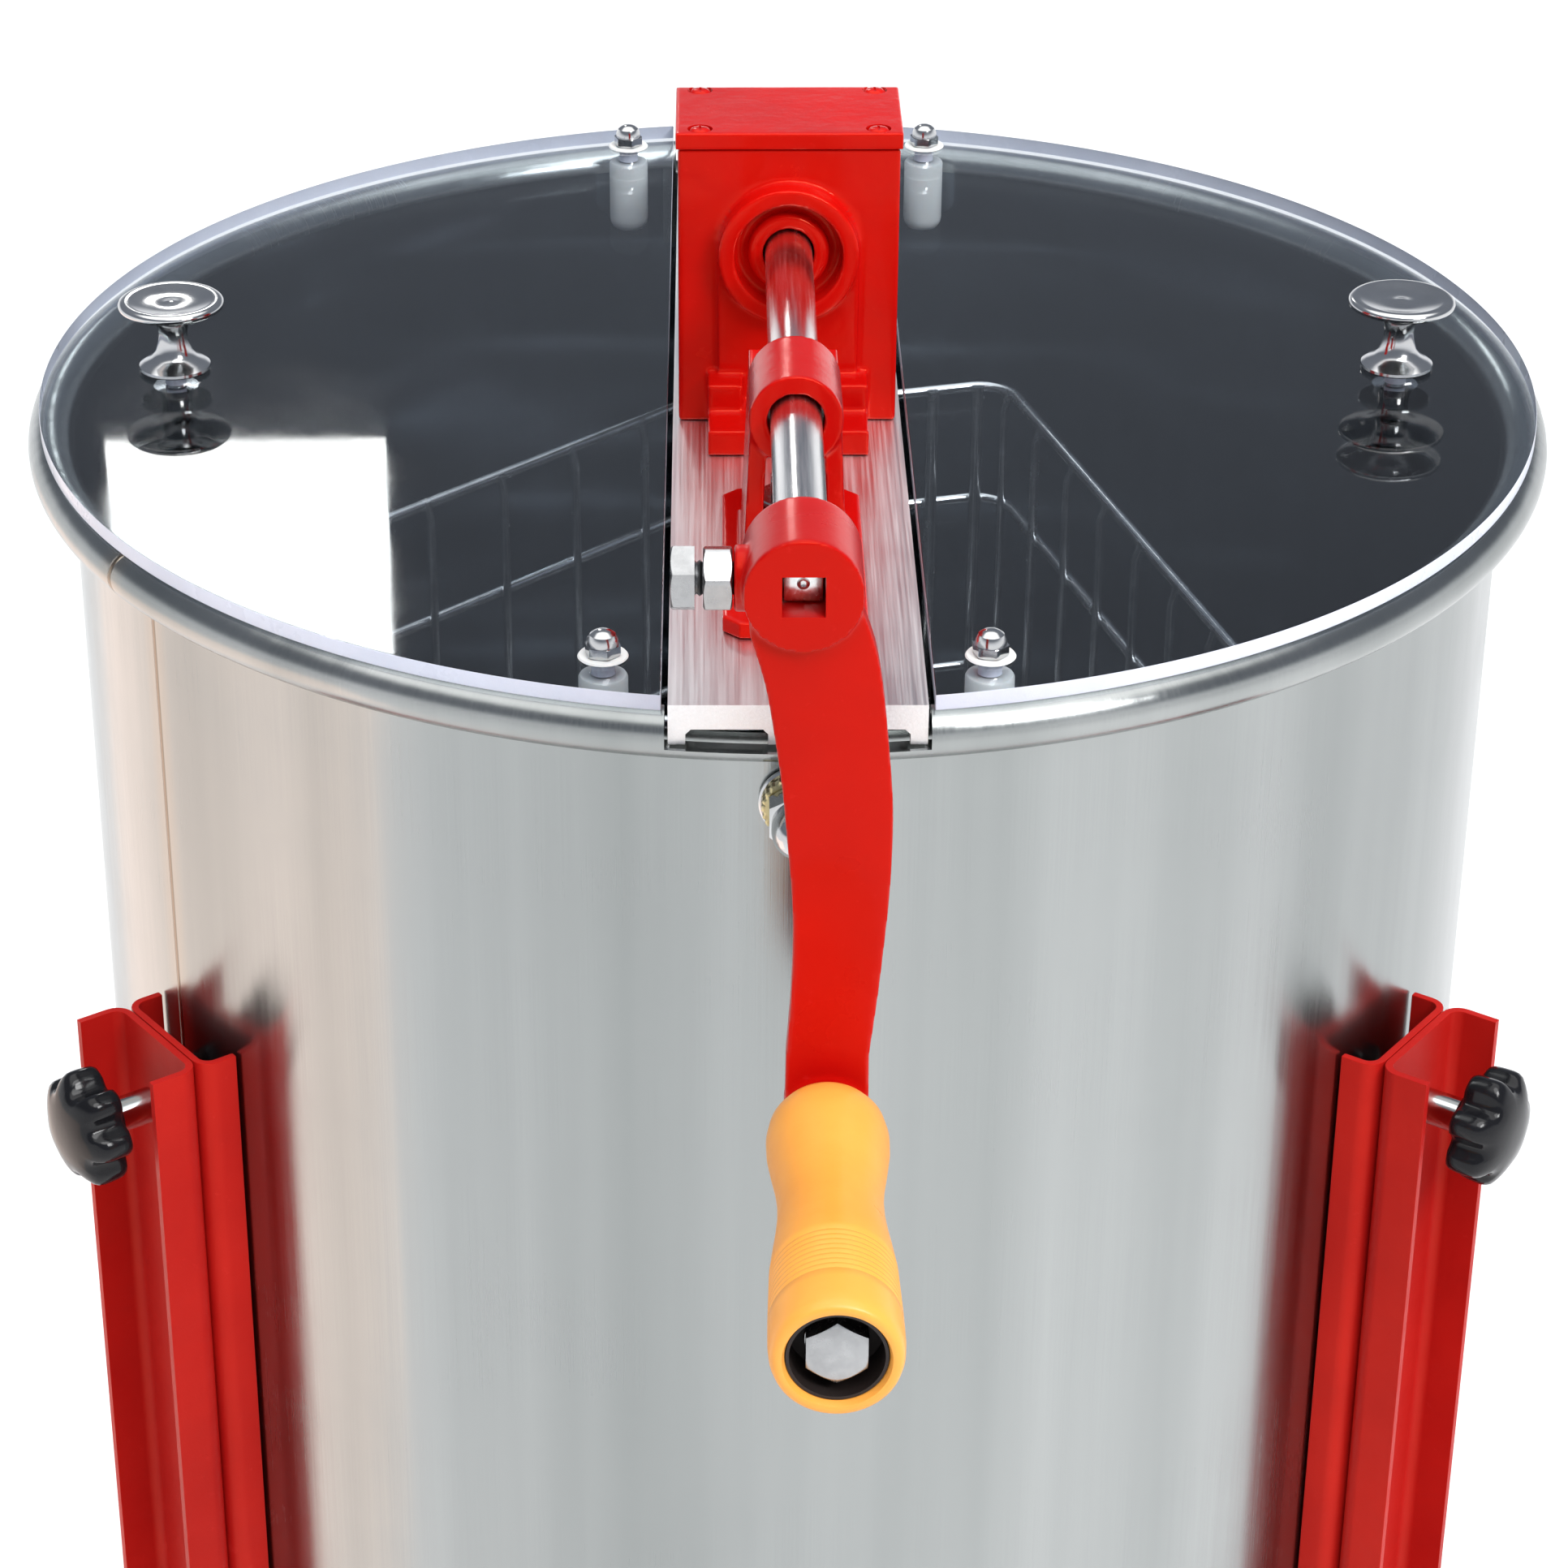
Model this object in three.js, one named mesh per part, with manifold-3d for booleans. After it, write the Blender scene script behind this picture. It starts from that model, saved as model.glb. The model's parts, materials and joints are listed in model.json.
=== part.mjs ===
// Hand-cranked three-frame honey extractor. Millimetres, Z up, floor at z = 0, front is -Y.
import * as THREE from 'three';
import { mergeVertices } from 'three/addons/utils/BufferGeometryUtils.js';
import Module from 'manifold-3d';

const wasm = await Module();
wasm.setup();

// ---- driving dimensions (mm) ----
const RIM_H = 920;          // top of the rolled rim above the floor
const DRUM_H = 600;         // height of the drum wall
const R_IN = 188;           // inside radius of the drum
const T_WALL = 1;           // sheet thickness
const R_ROLL = 6;           // radius of the rolled rim bead
const ROLL_C = 194;         // radius of the bead centre line
const AXIS_Y = 51;          // drum axis, so that the bounding box is centred
const BAR_W = 59, BAR_TOP = 2.5, BAR_H = 10, BAR_L = 391;
const SHAFT_Z = 49.3;       // crank shaft axis above the rim
const SHAFT_R = 6;
const HUB_FRONT = -238, HUB_BACK = -214;
const GRIP_X = 6.5, GRIP_Z = -81, GRIP_END = -332;
const LID_R = 196.5, LID_T = 4, LID_EDGE = 31;
const KNOB_X = 162, PEG_X = 44.5, PEG_Y = 174.5;
const LEG_AZ = [-54, 54, 180];   // degrees from the front
const LEG_W = 40, LEG_TOP = -132, LEG_T = 2;
const KNOB_Z = [-151, -500];
const STUD_Z = -25;         // crossbar clamp studs below the rim
const GEAR_N = 27, PINION_N = 11, MODULE = 1.6;
const GRILLE_R = 99, GRILLE_W = 212, CAGE_TOP = -53, CAGE_BOT = -505, CORE_R = 59, WIRE = 1.6;
const CAGE_AZ = [15.2, 135.2, 255.2];  // degrees from +X
const GATE_Z = -566, GATE_R = 20;

// ---- helpers ----
const mat = (hex, rough, metal, extra = {}) => new THREE.MeshStandardMaterial({ color: hex, roughness: rough, metalness: metal, ...extra });
function tidy(g) {
  const q = g.clone();
  for (const k of Object.keys(q.attributes)) if (k !== 'position') q.deleteAttribute(k);
  q.clearGroups();
  const m = mergeVertices(q, 1e-4);
  const a = m.index.array, out = [];
  for (let i = 0; i < a.length; i += 3) if (a[i] !== a[i + 1] && a[i + 1] !== a[i + 2] && a[i] !== a[i + 2]) out.push(a[i], a[i + 1], a[i + 2]);
  const p = m.attributes.position;
  let v = 0;
  for (let i = 0; i < out.length; i += 3) {
    const [i0, i1, i2] = [out[i], out[i + 1], out[i + 2]];
    const A = new THREE.Vector3().fromBufferAttribute(p, i0), B = new THREE.Vector3().fromBufferAttribute(p, i1), C = new THREE.Vector3().fromBufferAttribute(p, i2);
    v += A.dot(B.cross(C));
  }
  if (v < 0) for (let i = 0; i < out.length; i += 3) [out[i + 1], out[i + 2]] = [out[i + 2], out[i + 1]];
  const r = new THREE.BufferGeometry();
  r.setAttribute('position', new THREE.BufferAttribute(new Float32Array(p.array), 3));
  r.setIndex(out);
  return r;
}
const solid = (g) => {
  const q = tidy(g);
  return new wasm.Manifold(new wasm.Mesh({ numProp: 3, vertProperties: new Float32Array(q.attributes.position.array), triVerts: new Uint32Array(q.index.array) }));
};
const toGeo = (m) => {
  const k = m.getMesh();
  const g = new THREE.BufferGeometry();
  g.setAttribute('position', new THREE.BufferAttribute(new Float32Array(k.vertProperties), 3));
  g.setIndex(Array.from(k.triVerts));
  return g;
};
const cut = (a, ...bs) => { let m = solid(a); for (const b of bs) m = m.subtract(solid(b)); return toGeo(m); };
const fuse = (a, ...bs) => { let m = solid(a); for (const b of bs) m = m.add(solid(b)); return toGeo(m); };
const box = (x0, x1, y0, y1, z0, z1) => { const g = new THREE.BoxGeometry(x1 - x0, y1 - y0, z1 - z0); g.translate((x0 + x1) / 2, (y0 + y1) / 2, (z0 + z1) / 2); return g; };
// cylinder along an axis from a to b
function rod(axis, a, b, r, c = [0, 0], seg = 24, r2 = r) {
  const g = new THREE.CylinderGeometry(r2, r, b - a, seg);
  g.rotateX(Math.PI / 2);              // now along +Z, r at a and r2 at b
  g.translate(0, 0, (a + b) / 2);
  if (axis === 'z') g.translate(c[0], c[1], 0);
  if (axis === 'y') { g.rotateX(-Math.PI / 2); g.translate(c[0], 0, c[1]); }
  if (axis === 'x') { g.rotateY(Math.PI / 2); g.translate(0, c[0], c[1]); }
  return g;
}
// closed profile [r, h] turned about Z, then laid along an axis
function turned(profile, seg = 32, axis = 'z', c = [0, 0]) {
  const closed = profile[0][0] < 1e-6 && profile[profile.length - 1][0] < 1e-6;
  const pts = profile.map(([r, h]) => new THREE.Vector2(r, h));
  if (!closed) pts.push(pts[0].clone());
  const g = new THREE.LatheGeometry(pts, seg);
  g.rotateX(Math.PI / 2);
  if (axis === 'z') g.translate(c[0], c[1], 0);
  if (axis === 'y') { g.rotateX(-Math.PI / 2); g.translate(c[0], 0, c[1]); }
  if (axis === 'x') { g.rotateY(Math.PI / 2); g.translate(0, c[0], c[1]); }
  return g;
}
// 2-D outline (list of [x, y]) extruded from h0 to h1 along Z
function prism(outline, h0, h1, holes = [], opt = {}) {
  const s = new THREE.Shape(outline.map(([x, y]) => new THREE.Vector2(x, y)));
  for (const h of holes) s.holes.push(new THREE.Path(h.map(([x, y]) => new THREE.Vector2(x, y))));
  const g = new THREE.ExtrudeGeometry(s, { depth: h1 - h0, bevelEnabled: false, ...opt });
  g.translate(0, 0, h0);
  return g;
}
const ngon = (n, r, a0 = 0, c = [0, 0]) => Array.from({ length: n }, (_, i) => [c[0] + r * Math.cos(a0 + (i * 2 * Math.PI) / n), c[1] + r * Math.sin(a0 + (i * 2 * Math.PI) / n)]);
// an XY outline drawn as (x, z) and extruded along Y from y0 to y1
function slabY(outline, y0, y1, holes = []) {
  const g = prism(outline, -y1, -y0, holes);
  g.rotateX(Math.PI / 2);
  return g;
}
const hexAlong = (axis, a, b, af, c = [0, 0]) => {
  const g = prism(ngon(6, af / Math.sqrt(3), Math.PI / 6), a, b);
  if (axis === 'z') g.translate(c[0], c[1], 0);
  if (axis === 'y') { g.rotateX(-Math.PI / 2); g.translate(c[0], 0, c[1]); }
  if (axis === 'x') { g.rotateY(Math.PI / 2); g.translate(0, c[0], c[1]); }
  return g;
};
const spin = (g, deg) => { const q = g.clone(); q.rotateZ((deg * Math.PI) / 180); return q; };
const arc = (cx, cy, r, a0, a1, n) => Array.from({ length: n + 1 }, (_, i) => { const a = ((a0 + ((a1 - a0) * i) / n) * Math.PI) / 180; return [cx + r * Math.cos(a), cy + r * Math.sin(a)]; });

const root = new THREE.Group();
root.name = 'honey_extractor';
const made = [];
function add(name, geo, material) {
  const q = tidy(geo).toNonIndexed();
  q.translate(0, AXIS_Y, RIM_H);
  q.computeVertexNormals();
  const m = new THREE.Mesh(q, material.clone());
  m.name = name;
  root.add(m);
  made.push(name);
}

const STEEL = mat(0xb9bdbf, 0.25, 1), BRIGHT = mat(0xd0d3d5, 0.12, 1), ALU = mat(0xc4c6c7, 0.45, 0.9);
const RED = mat(0xc01008, 0.28, 0.1), LEGRED = mat(0xae1d20, 0.45, 0.1), BLACK = mat(0x101012, 0.3, 0), ORANGE = mat(0xf0a52c, 0.45, 0);
const NYLON = mat(0xe9e9e6, 0.4, 0), CLEAR = mat(0xdfe8ee, 0.08, 0, { transparent: true, opacity: 0.35 }), BRONZE = mat(0xa67c3d, 0.4, 0.8), DARK = mat(0x55585a, 0.4, 0.9);

// ---- drum ----
{
  const outer = arc(ROLL_C, -R_ROLL, R_ROLL, 180, -130, 7);
  const inner = arc(ROLL_C, -R_ROLL, R_ROLL - T_WALL, -130, 180, 7);
  const profile = [...outer, ...inner, [R_IN + T_WALL, -DRUM_H], [R_IN, -DRUM_H]];
  const notchF = box(-30.3, 30.3, -206, -182, -7.9, 5), notchB = box(-30.3, 30.3, 182, 206, -7.9, 5);
  const studs = rod('y', -210, 210, 3.4, [0, STUD_Z], 12);
  const mouth = rod('y', -200, -150, GATE_R + 2.4, [0, GATE_Z], 24);
  add('drum_shell', cut(turned(profile, 52), notchF, notchB, studs, mouth), STEEL);
}
add('drum_floor', turned([[18, -571.2], [187.2, -592], [187.2, -598], [186.2, -598], [186.2, -593.2], [18, -572.4]], 36), STEEL);
add('bottom_bearing', turned([[0, -584], [14, -584], [17.6, -580], [17.6, -570.6], [26, -571.4], [26, -569.4], [17, -566], [14, -556], [8.35, -556], [8.35, -577], [0, -580]], 20), BRONZE);

// ---- crossbar ----
{
  const w = BAR_W / 2, b = BAR_TOP - BAR_H, u = BAR_TOP - 6.2;
  const e = [[-w, BAR_TOP], [-w, b], [-w + 4, b], [-w + 4, u], [-6.7, u], [-6.7, b], [6.7, b], [6.7, u], [w - 4, u], [w - 4, b], [w, b], [w, BAR_TOP]];
  const bolts = [-92, -154].map((y) => rod('z', -20, 10, 3.3, [0, y], 12));
  add('crossbar', cut(slabY(e, -BAR_L / 2, BAR_L / 2), rod('z', -20, 10, 9.4, [0, 0], 24), ...bolts), ALU);
  for (const [n, s] of [['front', -1], ['back', 1]]) {
    const l = [[-s * -187.0, 0], [0, 0]];
    const g = box(-11, 11, Math.min(s * 183.5, s * 186.9), Math.max(s * 183.5, s * 186.9), -36, -7.8);
    const t = box(-11, 11, Math.min(s * 183.6, s * 150), Math.max(s * 183.6, s * 150), -11, -7.8);
    add('bar_clip_' + n, cut(fuse(g, t), rod('y', -200, 200, 3.4, [0, STUD_Z], 12)), STEEL);
    const prof = [[0, 0], [6.2, 0], [6.2, 2.2], [3, 2.2], [3, 9.6], [8.6, 9.6], [8.6, 11.2], [7.6, 11.2], [7.6, 13.4], [6.8, 13.4], [6.8, 24], [5.9, 27.8], [3.6, 30.4], [0, 31]];
    const q = turned(prof, 16, 'z');
    q.rotateX(s < 0 ? Math.PI / 2 : -Math.PI / 2);
    q.translate(0, s * 181.0, STUD_Z);
    add('clamp_stud_' + n, q, BRIGHT);
  }
}

// ---- gearbox ----
{
  const z0 = BAR_TOP + 0.3, z1 = 75.7;
  const pad = [[-18, z0], [18, z0], ...arc(0, SHAFT_Z, 18, 0, 180, 12)];
  let body = fuse(box(-28, 28, -31.9, 3.5, z0, z1), rod('z', z0, 42, 14, [0, 0], 32), slabY(pad, -33.9, -31), rod('y', -38, -31, 17.8, [0, SHAFT_Z], 36),
    box(-20.4, 20.4, -55, -31, z0, 9.4), box(-20.4, -11.5, -42, -31, z0, 16.5), box(11.5, 20.4, -42, -31, z0, 16.5));
  body = cut(body, rod('y', -40, -31.2, 13.7, [0, SHAFT_Z], 32), box(-24, 24, -26, -0.8, 6.6, 80), rod('z', 6.6, 38, 11, [0, 0], 28), rod('z', 0, 10, 6.3, [0, 0], 24));
  body = fuse(body, rod('y', -35, -30, 10.4, [0, SHAFT_Z], 24));
  body = cut(body, rod('y', -50, -20, 6.3, [0, SHAFT_Z], 24), ...[[-22.4, -28.6], [22.4, -28.6], [-22.4, 1.3], [22.4, 1.3]].map((c) => rod('z', 64, 80, 1.6, c, 10)));
  add('gearbox_housing', body, RED);
  const sh = [[-28.6, -32.5], [28.6, -32.5], [28.6, 4.1], [-28.6, 4.1]];
  let cov = fuse(prism(sh, 76, 78.4), prism([[-27.6, -31.5], [27.6, -31.5], [27.6, 3.1], [-27.6, 3.1]], 78.3, 80.2));
  cov = cut(cov, ...[[-22.4, -28.6], [22.4, -28.6], [-22.4, 1.3], [22.4, 1.3]].flatMap((c) => [rod('z', 70, 90, 1.6, c, 10), rod('z', 79.0, 81, 3.0, c, 14)]));
  add('gearbox_cover', cov, RED);
  [[-22.4, -28.6], [22.4, -28.6], [-22.4, 1.3], [22.4, 1.3]].forEach((c, i) => {
    add('cover_screw_' + (i + 1), fuse(rod('z', 66, 79.6, 1.3, c, 10), rod('z', 79.3, 80.6, 2.6, c, 14)), RED);
  });
}

// ---- shaft bearing bracket ----
{
  const y0 = -148, y1 = -100;
  const plate = prism([[-17, -158], [-13, -162], [13, -162], [17, -158], [17, -88], [13, -84], [-13, -84], [-17, -88]], BAR_TOP + 0.3, BAR_TOP + 4.3);
  const webL = slabY([[-12.5, BAR_TOP + 1], [-8.4, BAR_TOP + 1], [-6.4, SHAFT_Z], [-10.6, SHAFT_Z]], y0 + 6, y1 + 2);
  const webR = slabY([[12.5, BAR_TOP + 1], [8.4, BAR_TOP + 1], [6.4, SHAFT_Z], [10.6, SHAFT_Z]], y0 + 6, y1 + 2);
  const ring = rod('y', -143, -117, 11, [0, SHAFT_Z], 28);
  const b = cut(fuse(plate, webL, webR, ring), rod('y', -170, -90, SHAFT_R + 0.3, [0, SHAFT_Z], 24), rod('z', 0, 10, 3.3, [0, -92], 12), rod('z', 0, 10, 3.3, [0, -154], 12));
  add('shaft_bracket', b, RED);
  const bolt = (y) => fuse(rod('z', -6, 8, 3, [0, y], 12), rod('z', BAR_TOP + 4.6, BAR_TOP + 6, 8.2, [0, y], 24), hexAlong('z', BAR_TOP + 5.9, BAR_TOP + 10.9, 10, [0, y]));
  add('bracket_bolt_rear', bolt(-92), BRIGHT);
  add('bracket_bolt_front', bolt(-154), BRIGHT);
}

// ---- bevel gears: teeth scaled towards the point where the two shafts meet ----
function bevel(n, rp, cone, hubR, hubBack, boreR, back, phase) {
  // built about +Z with the apex at the origin; large end at height -h
  const h = rp / Math.tan(cone), a = 1.35, d = 1.75, s = 0.66, ring = (rr, zz, f = 1) => [rr * f, zz * f];
  const lay = [];
  const P = 4 * n;
  const outline = (f) => {
    const o = [];
    for (let i = 0; i < n; i++) {
      const c = phase + (i * 2 * Math.PI) / n, q = (2 * Math.PI) / n;
      for (const [u, k] of [[-0.3, -d], [-0.12, a], [0.12, a], [0.3, -d]]) {
        const r = (rp + k * Math.cos(cone)) * f, z = (-h + k * Math.sin(cone)) * f;
        o.push([r * Math.cos(c + u * q), r * Math.sin(c + u * q), z]);
      }
    }
    return o;
  };
  const circ = (r, z) => {
    const o = [];
    for (let i = 0; i < n; i++) for (const u of [-0.3, -0.12, 0.12, 0.3]) { const t = phase + ((i + u) * 2 * Math.PI) / n; o.push([r * Math.cos(t), r * Math.sin(t), z]); }
    return o;
  };
  const zr = -h - d * Math.sin(cone);
  const front = -h * s + 0.2 * (cone > 1 ? -1 : 1);
  lay.push(circ(boreR, front - (cone > 1 ? 1.2 : 0.4)), outline(s), outline(1), circ(hubR, zr - back - hubBack), circ(boreR, zr - back - hubBack));
  const pos = [], idx = [];
  lay.forEach((l) => l.forEach((p) => pos.push(...p)));
  for (let k = 0; k < lay.length; k++) {
    const A = k * P, B = ((k + 1) % lay.length) * P;
    for (let i = 0; i < P; i++) { const j = (i + 1) % P; idx.push(A + i, A + j, B + j, A + i, B + j, B + i); }
  }
  const g = new THREE.BufferGeometry();
  g.setAttribute('position', new THREE.BufferAttribute(new Float32Array(pos), 3));
  g.setIndex(idx);
  return g;
}
const RG = (GEAR_N * MODULE) / 2, RP = (PINION_N * MODULE) / 2;
{
  const g = bevel(GEAR_N, RG, Math.atan2(RG, RP), 11, 6, SHAFT_R + 0.3, 1.5, Math.PI / 2 + Math.PI / GEAR_N);
  g.rotateX(-Math.PI / 2);             // local +Z (towards the apex) becomes +Y; local Y becomes -Z
  g.translate(0, 0, SHAFT_Z);
  const key = g;
  add('drive_gear', key, DARK);
  const p = bevel(PINION_N, RP, Math.atan2(RP, RG), 7.4, 6, SHAFT_R - 1.2 + 0.3, 1.2, -Math.PI / 2);
  p.translate(0, 0, SHAFT_Z);
  add('pinion_gear', p, DARK);
}

// ---- crank ----
{
  const s = 4.35, y0 = HUB_FRONT + 2.5, yb = -3;
  const sq = box(-s, s, HUB_FRONT + 7, HUB_BACK + 1, SHAFT_Z - s, SHAFT_Z + s);
  add('crank_shaft', fuse(rod('y', HUB_BACK + 0.4, yb, SHAFT_R, [0, SHAFT_Z], 24), sq), BRIGHT);
  const L = [[-11.4, 39.1], [-8.2, 27.9], [-6.2, 16.4], [-4.2, 2], [-3, -11.1], [-1.9, -24], [-1.5, -35], [-1.8, -50], [-2.8, -65.6]];
  const Rr = [[13.0, 44], [15.6, 36], [17.4, 26], [18.7, 14], [19.9, 0], [20.1, -11], [19.7, -24], [18.9, -35], [17.6, -50], [15.9, -65.4]];
  const end = arc(GRIP_X, GRIP_Z, 9.6, -8, -172, 8);
  const outline = [...L.slice().reverse(), [-12, SHAFT_Z], [12, SHAFT_Z], ...Rr, ...end];
  const arm = slabY(outline.slice().reverse(), HUB_FRONT + 2, HUB_FRONT + 8);
  let hub = fuse(arm, rod('y', HUB_FRONT, HUB_BACK, 13, [0, SHAFT_Z], 36), rod('x', -14.8, -6, 7.2, [-226, SHAFT_Z - 1], 20), rod('y', HUB_FRONT + 1.6, HUB_FRONT + 11, 9.6, [GRIP_X, GRIP_Z], 24));
  const h = 4.65;
  hub = cut(hub, box(-h, h, -245, -205, SHAFT_Z - h, SHAFT_Z + h), rod('y', -250, -210, 4.3, [GRIP_X, GRIP_Z], 16), rod('x', -20, 0, 4.3, [-226, SHAFT_Z - 1], 16));
  add('crank_arm', hub, RED);
  add('clamp_bolt', fuse(rod('x', -24, -5.0, 3.9, [-226, SHAFT_Z - 1], 16), hexAlong('x', -28.4, -23.2, 13, [-226, SHAFT_Z - 1])), BRIGHT);
  add('clamp_nut', cut(hexAlong('x', -21.4, -15.1, 13, [-226, SHAFT_Z - 1]), rod('x', -30, 0, 4.2, [-226, SHAFT_Z - 1], 16)), BRIGHT);
  add('handle_bolt', fuse(rod('y', GRIP_END + 8, HUB_FRONT + 18, 3.9, [GRIP_X, GRIP_Z], 16), hexAlong('y', GRIP_END + 2.5, GRIP_END + 8.5, 13, [GRIP_X, GRIP_Z]), hexAlong('y', HUB_FRONT + 11.3, HUB_FRONT + 17, 13, [GRIP_X, GRIP_Z])), BRIGHT);
  const gy = [[4.3, -239.2], [7, -239.2], [10.6, -240.2], [12.9, -243], [13.9, -248], [13.6, -256], [12.4, -264], [11.7, -272], [11.8, -280], [12.7, -289], [13.7, -298], [14.3, -309], [14.5, -322], [14.3, -330], [13.4, GRIP_END], [11.4, GRIP_END], [10.9, GRIP_END + 1.2], [10.9, GRIP_END + 13], [4.3, GRIP_END + 13]];
  add('handle_grip', turned(gy, 20, 'y', [GRIP_X, GRIP_Z]), ORANGE);
}

// ---- basket ----
{
  add('basket_shaft', turned([[0, -578.6], [3, -576.6], [8, -574], [8, -14], [6, -12.5], [6, 9.6], [4.8, 10.4], [4.8, 36.5], [0, 36.5]], 20), BRIGHT);
  const bar = (x0, y0, z0, x1, y1, z1, r = WIRE) => {
    const A = new THREE.Vector3(x0, y0, z0), B = new THREE.Vector3(x1, y1, z1), D = B.clone().sub(A);
    const g = new THREE.CylinderGeometry(r, r, D.length(), 4);
    g.rotateY(Math.PI / 4);
    g.applyQuaternion(new THREE.Quaternion().setFromUnitVectors(new THREE.Vector3(0, 1, 0), D.clone().normalize()));
    g.translate(...A.add(B).multiplyScalar(0.5).toArray());
    return g;
  };
  const join = (list) => {
    let m = solid(list[0]);
    for (const p of list.slice(1)) m = m.add(solid(p));
    return toGeo(m);
  };
  const w = GRILLE_W / 2, e = WIRE * 0.6, levels = [CAGE_TOP, CAGE_TOP - 36, -200, -310, -420, CAGE_BOT];
  // flat outer grille of one pocket, local +X is radial
  const g = levels.map((z) => bar(GRILLE_R, -w, z, GRILLE_R, w, z));
  for (let i = 0; i < 8; i++) {
    const t = -w + 3 + (i * (GRILLE_W - 6)) / 7;
    g.push(bar(GRILLE_R - 0.4, t, CAGE_BOT - e, GRILLE_R - 0.4, t, CAGE_TOP + e, 1.2));
  }
  const grille = join(g);
  // corner between two pockets: a post with the end wires of both, in a V that opens outwards
  const apex = w / Math.sin(Math.PI / 3), rot = (x, y, d) => [x * Math.cos(d) - y * Math.sin(d), x * Math.sin(d) + y * Math.cos(d)];
  const c = [bar(apex, 0, CAGE_BOT - e, apex, 0, CAGE_TOP + e, 2)];
  for (const z of levels) {
    for (const s of [-1, 1]) {
      const [x, y] = rot(GRILLE_R - WIRE - 0.5, s * -w, (s * Math.PI) / 3);
      c.push(bar(apex, 0, z, x, y, z));
    }
  }
  const corner = join(c);
  // core: three-sided inner frame on a spider
  const k = [bar(0, 0, 0, 1, 0, 0)].slice(1), R = CORE_R / Math.cos(Math.PI / 3) - 1.5, inner = [-140, -270, -400];
  for (let i = 0; i < 3; i++) {
    const p = rot(R, 0, (i * 2 * Math.PI) / 3), q = rot(R, 0, ((i + 1) * 2 * Math.PI) / 3);
    for (const z of inner) k.push(bar(p[0], p[1], z, q[0], q[1], z));
    k.push(bar(p[0] * 0.985, p[1] * 0.985, inner[2] - e, p[0] * 0.985, p[1] * 0.985, inner[0] + e));
    k.push(bar((p[0] + q[0]) / 2, (p[1] + q[1]) / 2, inner[2] - e, (p[0] + q[0]) / 2, (p[1] + q[1]) / 2, inner[0] + e, 1.2));
    for (const z of [inner[0], inner[2]]) k.push(bar(...rot(11, 0, (i * 2 * Math.PI) / 3), z, p[0], p[1], z, 2));
  }
  const hub = turned([[8.3, inner[0] + 6], [13, inner[0] + 6], [13, inner[2] - 6], [8.3, inner[2] - 6]], 20);
  const core = join([hub, ...k]);
  let bot = turned([[8.3, CAGE_BOT - 4], [13, CAGE_BOT - 4], [13, CAGE_BOT - 24], [8.3, CAGE_BOT - 24]], 24);
  for (const a of CAGE_AZ) {
    bot = fuse(bot, spin(box(11, GRILLE_R + 2, -6, 6, CAGE_BOT - 8, CAGE_BOT - WIRE - 0.4), a), spin(box(GRILLE_R - 24, GRILLE_R - 16, -72, 72, CAGE_BOT - 8, CAGE_BOT - WIRE - 0.4), a));
  }
  add('basket_core', spin(core, CAGE_AZ[0] + 60), STEEL);
  add('bottom_spider', bot, STEEL);
  CAGE_AZ.forEach((a, i) => {
    add('basket_grille_' + (i + 1), spin(grille, a), STEEL);
    add('basket_corner_' + (i + 1), spin(corner, a + 60), STEEL);
  });
}

// ---- lids ----
for (const [n, s] of [['left', -1], ['right', 1]]) {
  const half = Math.acos(LID_EDGE / LID_R) * (180 / Math.PI);
  const o = s > 0 ? arc(0, 0, LID_R, -half, half, 40) : arc(0, 0, LID_R, 180 - half, 180 + half, 40);
  const holes = [rod('z', -1, 6, 2.8, [s * PEG_X, -PEG_Y], 12), rod('z', -1, 6, 2.8, [s * PEG_X, PEG_Y], 12), rod('z', -1, 6, 2.8, [s * KNOB_X, 0], 12)];
  add('lid_' + n, cut(prism(o, 0.3, 0.3 + LID_T), ...holes), CLEAR);
  const zt = 0.3 + LID_T;
  add('lid_knob_' + n, turned([[0, -3], [6, -3], [6, 0], [2.4, 0], [2.4, zt + 0.3], [9.5, zt + 0.3], [9.5, zt + 1.6], [6.4, zt + 3.2], [4.2, zt + 7], [3.9, zt + 12], [5.4, zt + 14.5], [12, zt + 16.5], [14, zt + 18], [14, zt + 19.2], [11, zt + 19.9], [0, zt + 19.2]], 18, 'z', [s * KNOB_X, 0]), BRIGHT);
  for (const [m, q] of [['front', -1], ['back', 1]]) {
    add(`lid_peg_${n}_${m}`, turned([[0, -21], [4, -21], [5.75, -18.5], [5.75, 0], [2.4, 0], [2.4, zt + 0.3], [5, zt + 0.3], [5, zt + 3.2], [3.6, zt + 6], [0, zt + 7]], 14, 'z', [s * PEG_X, q * PEG_Y]), NYLON);
  }
}

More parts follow.
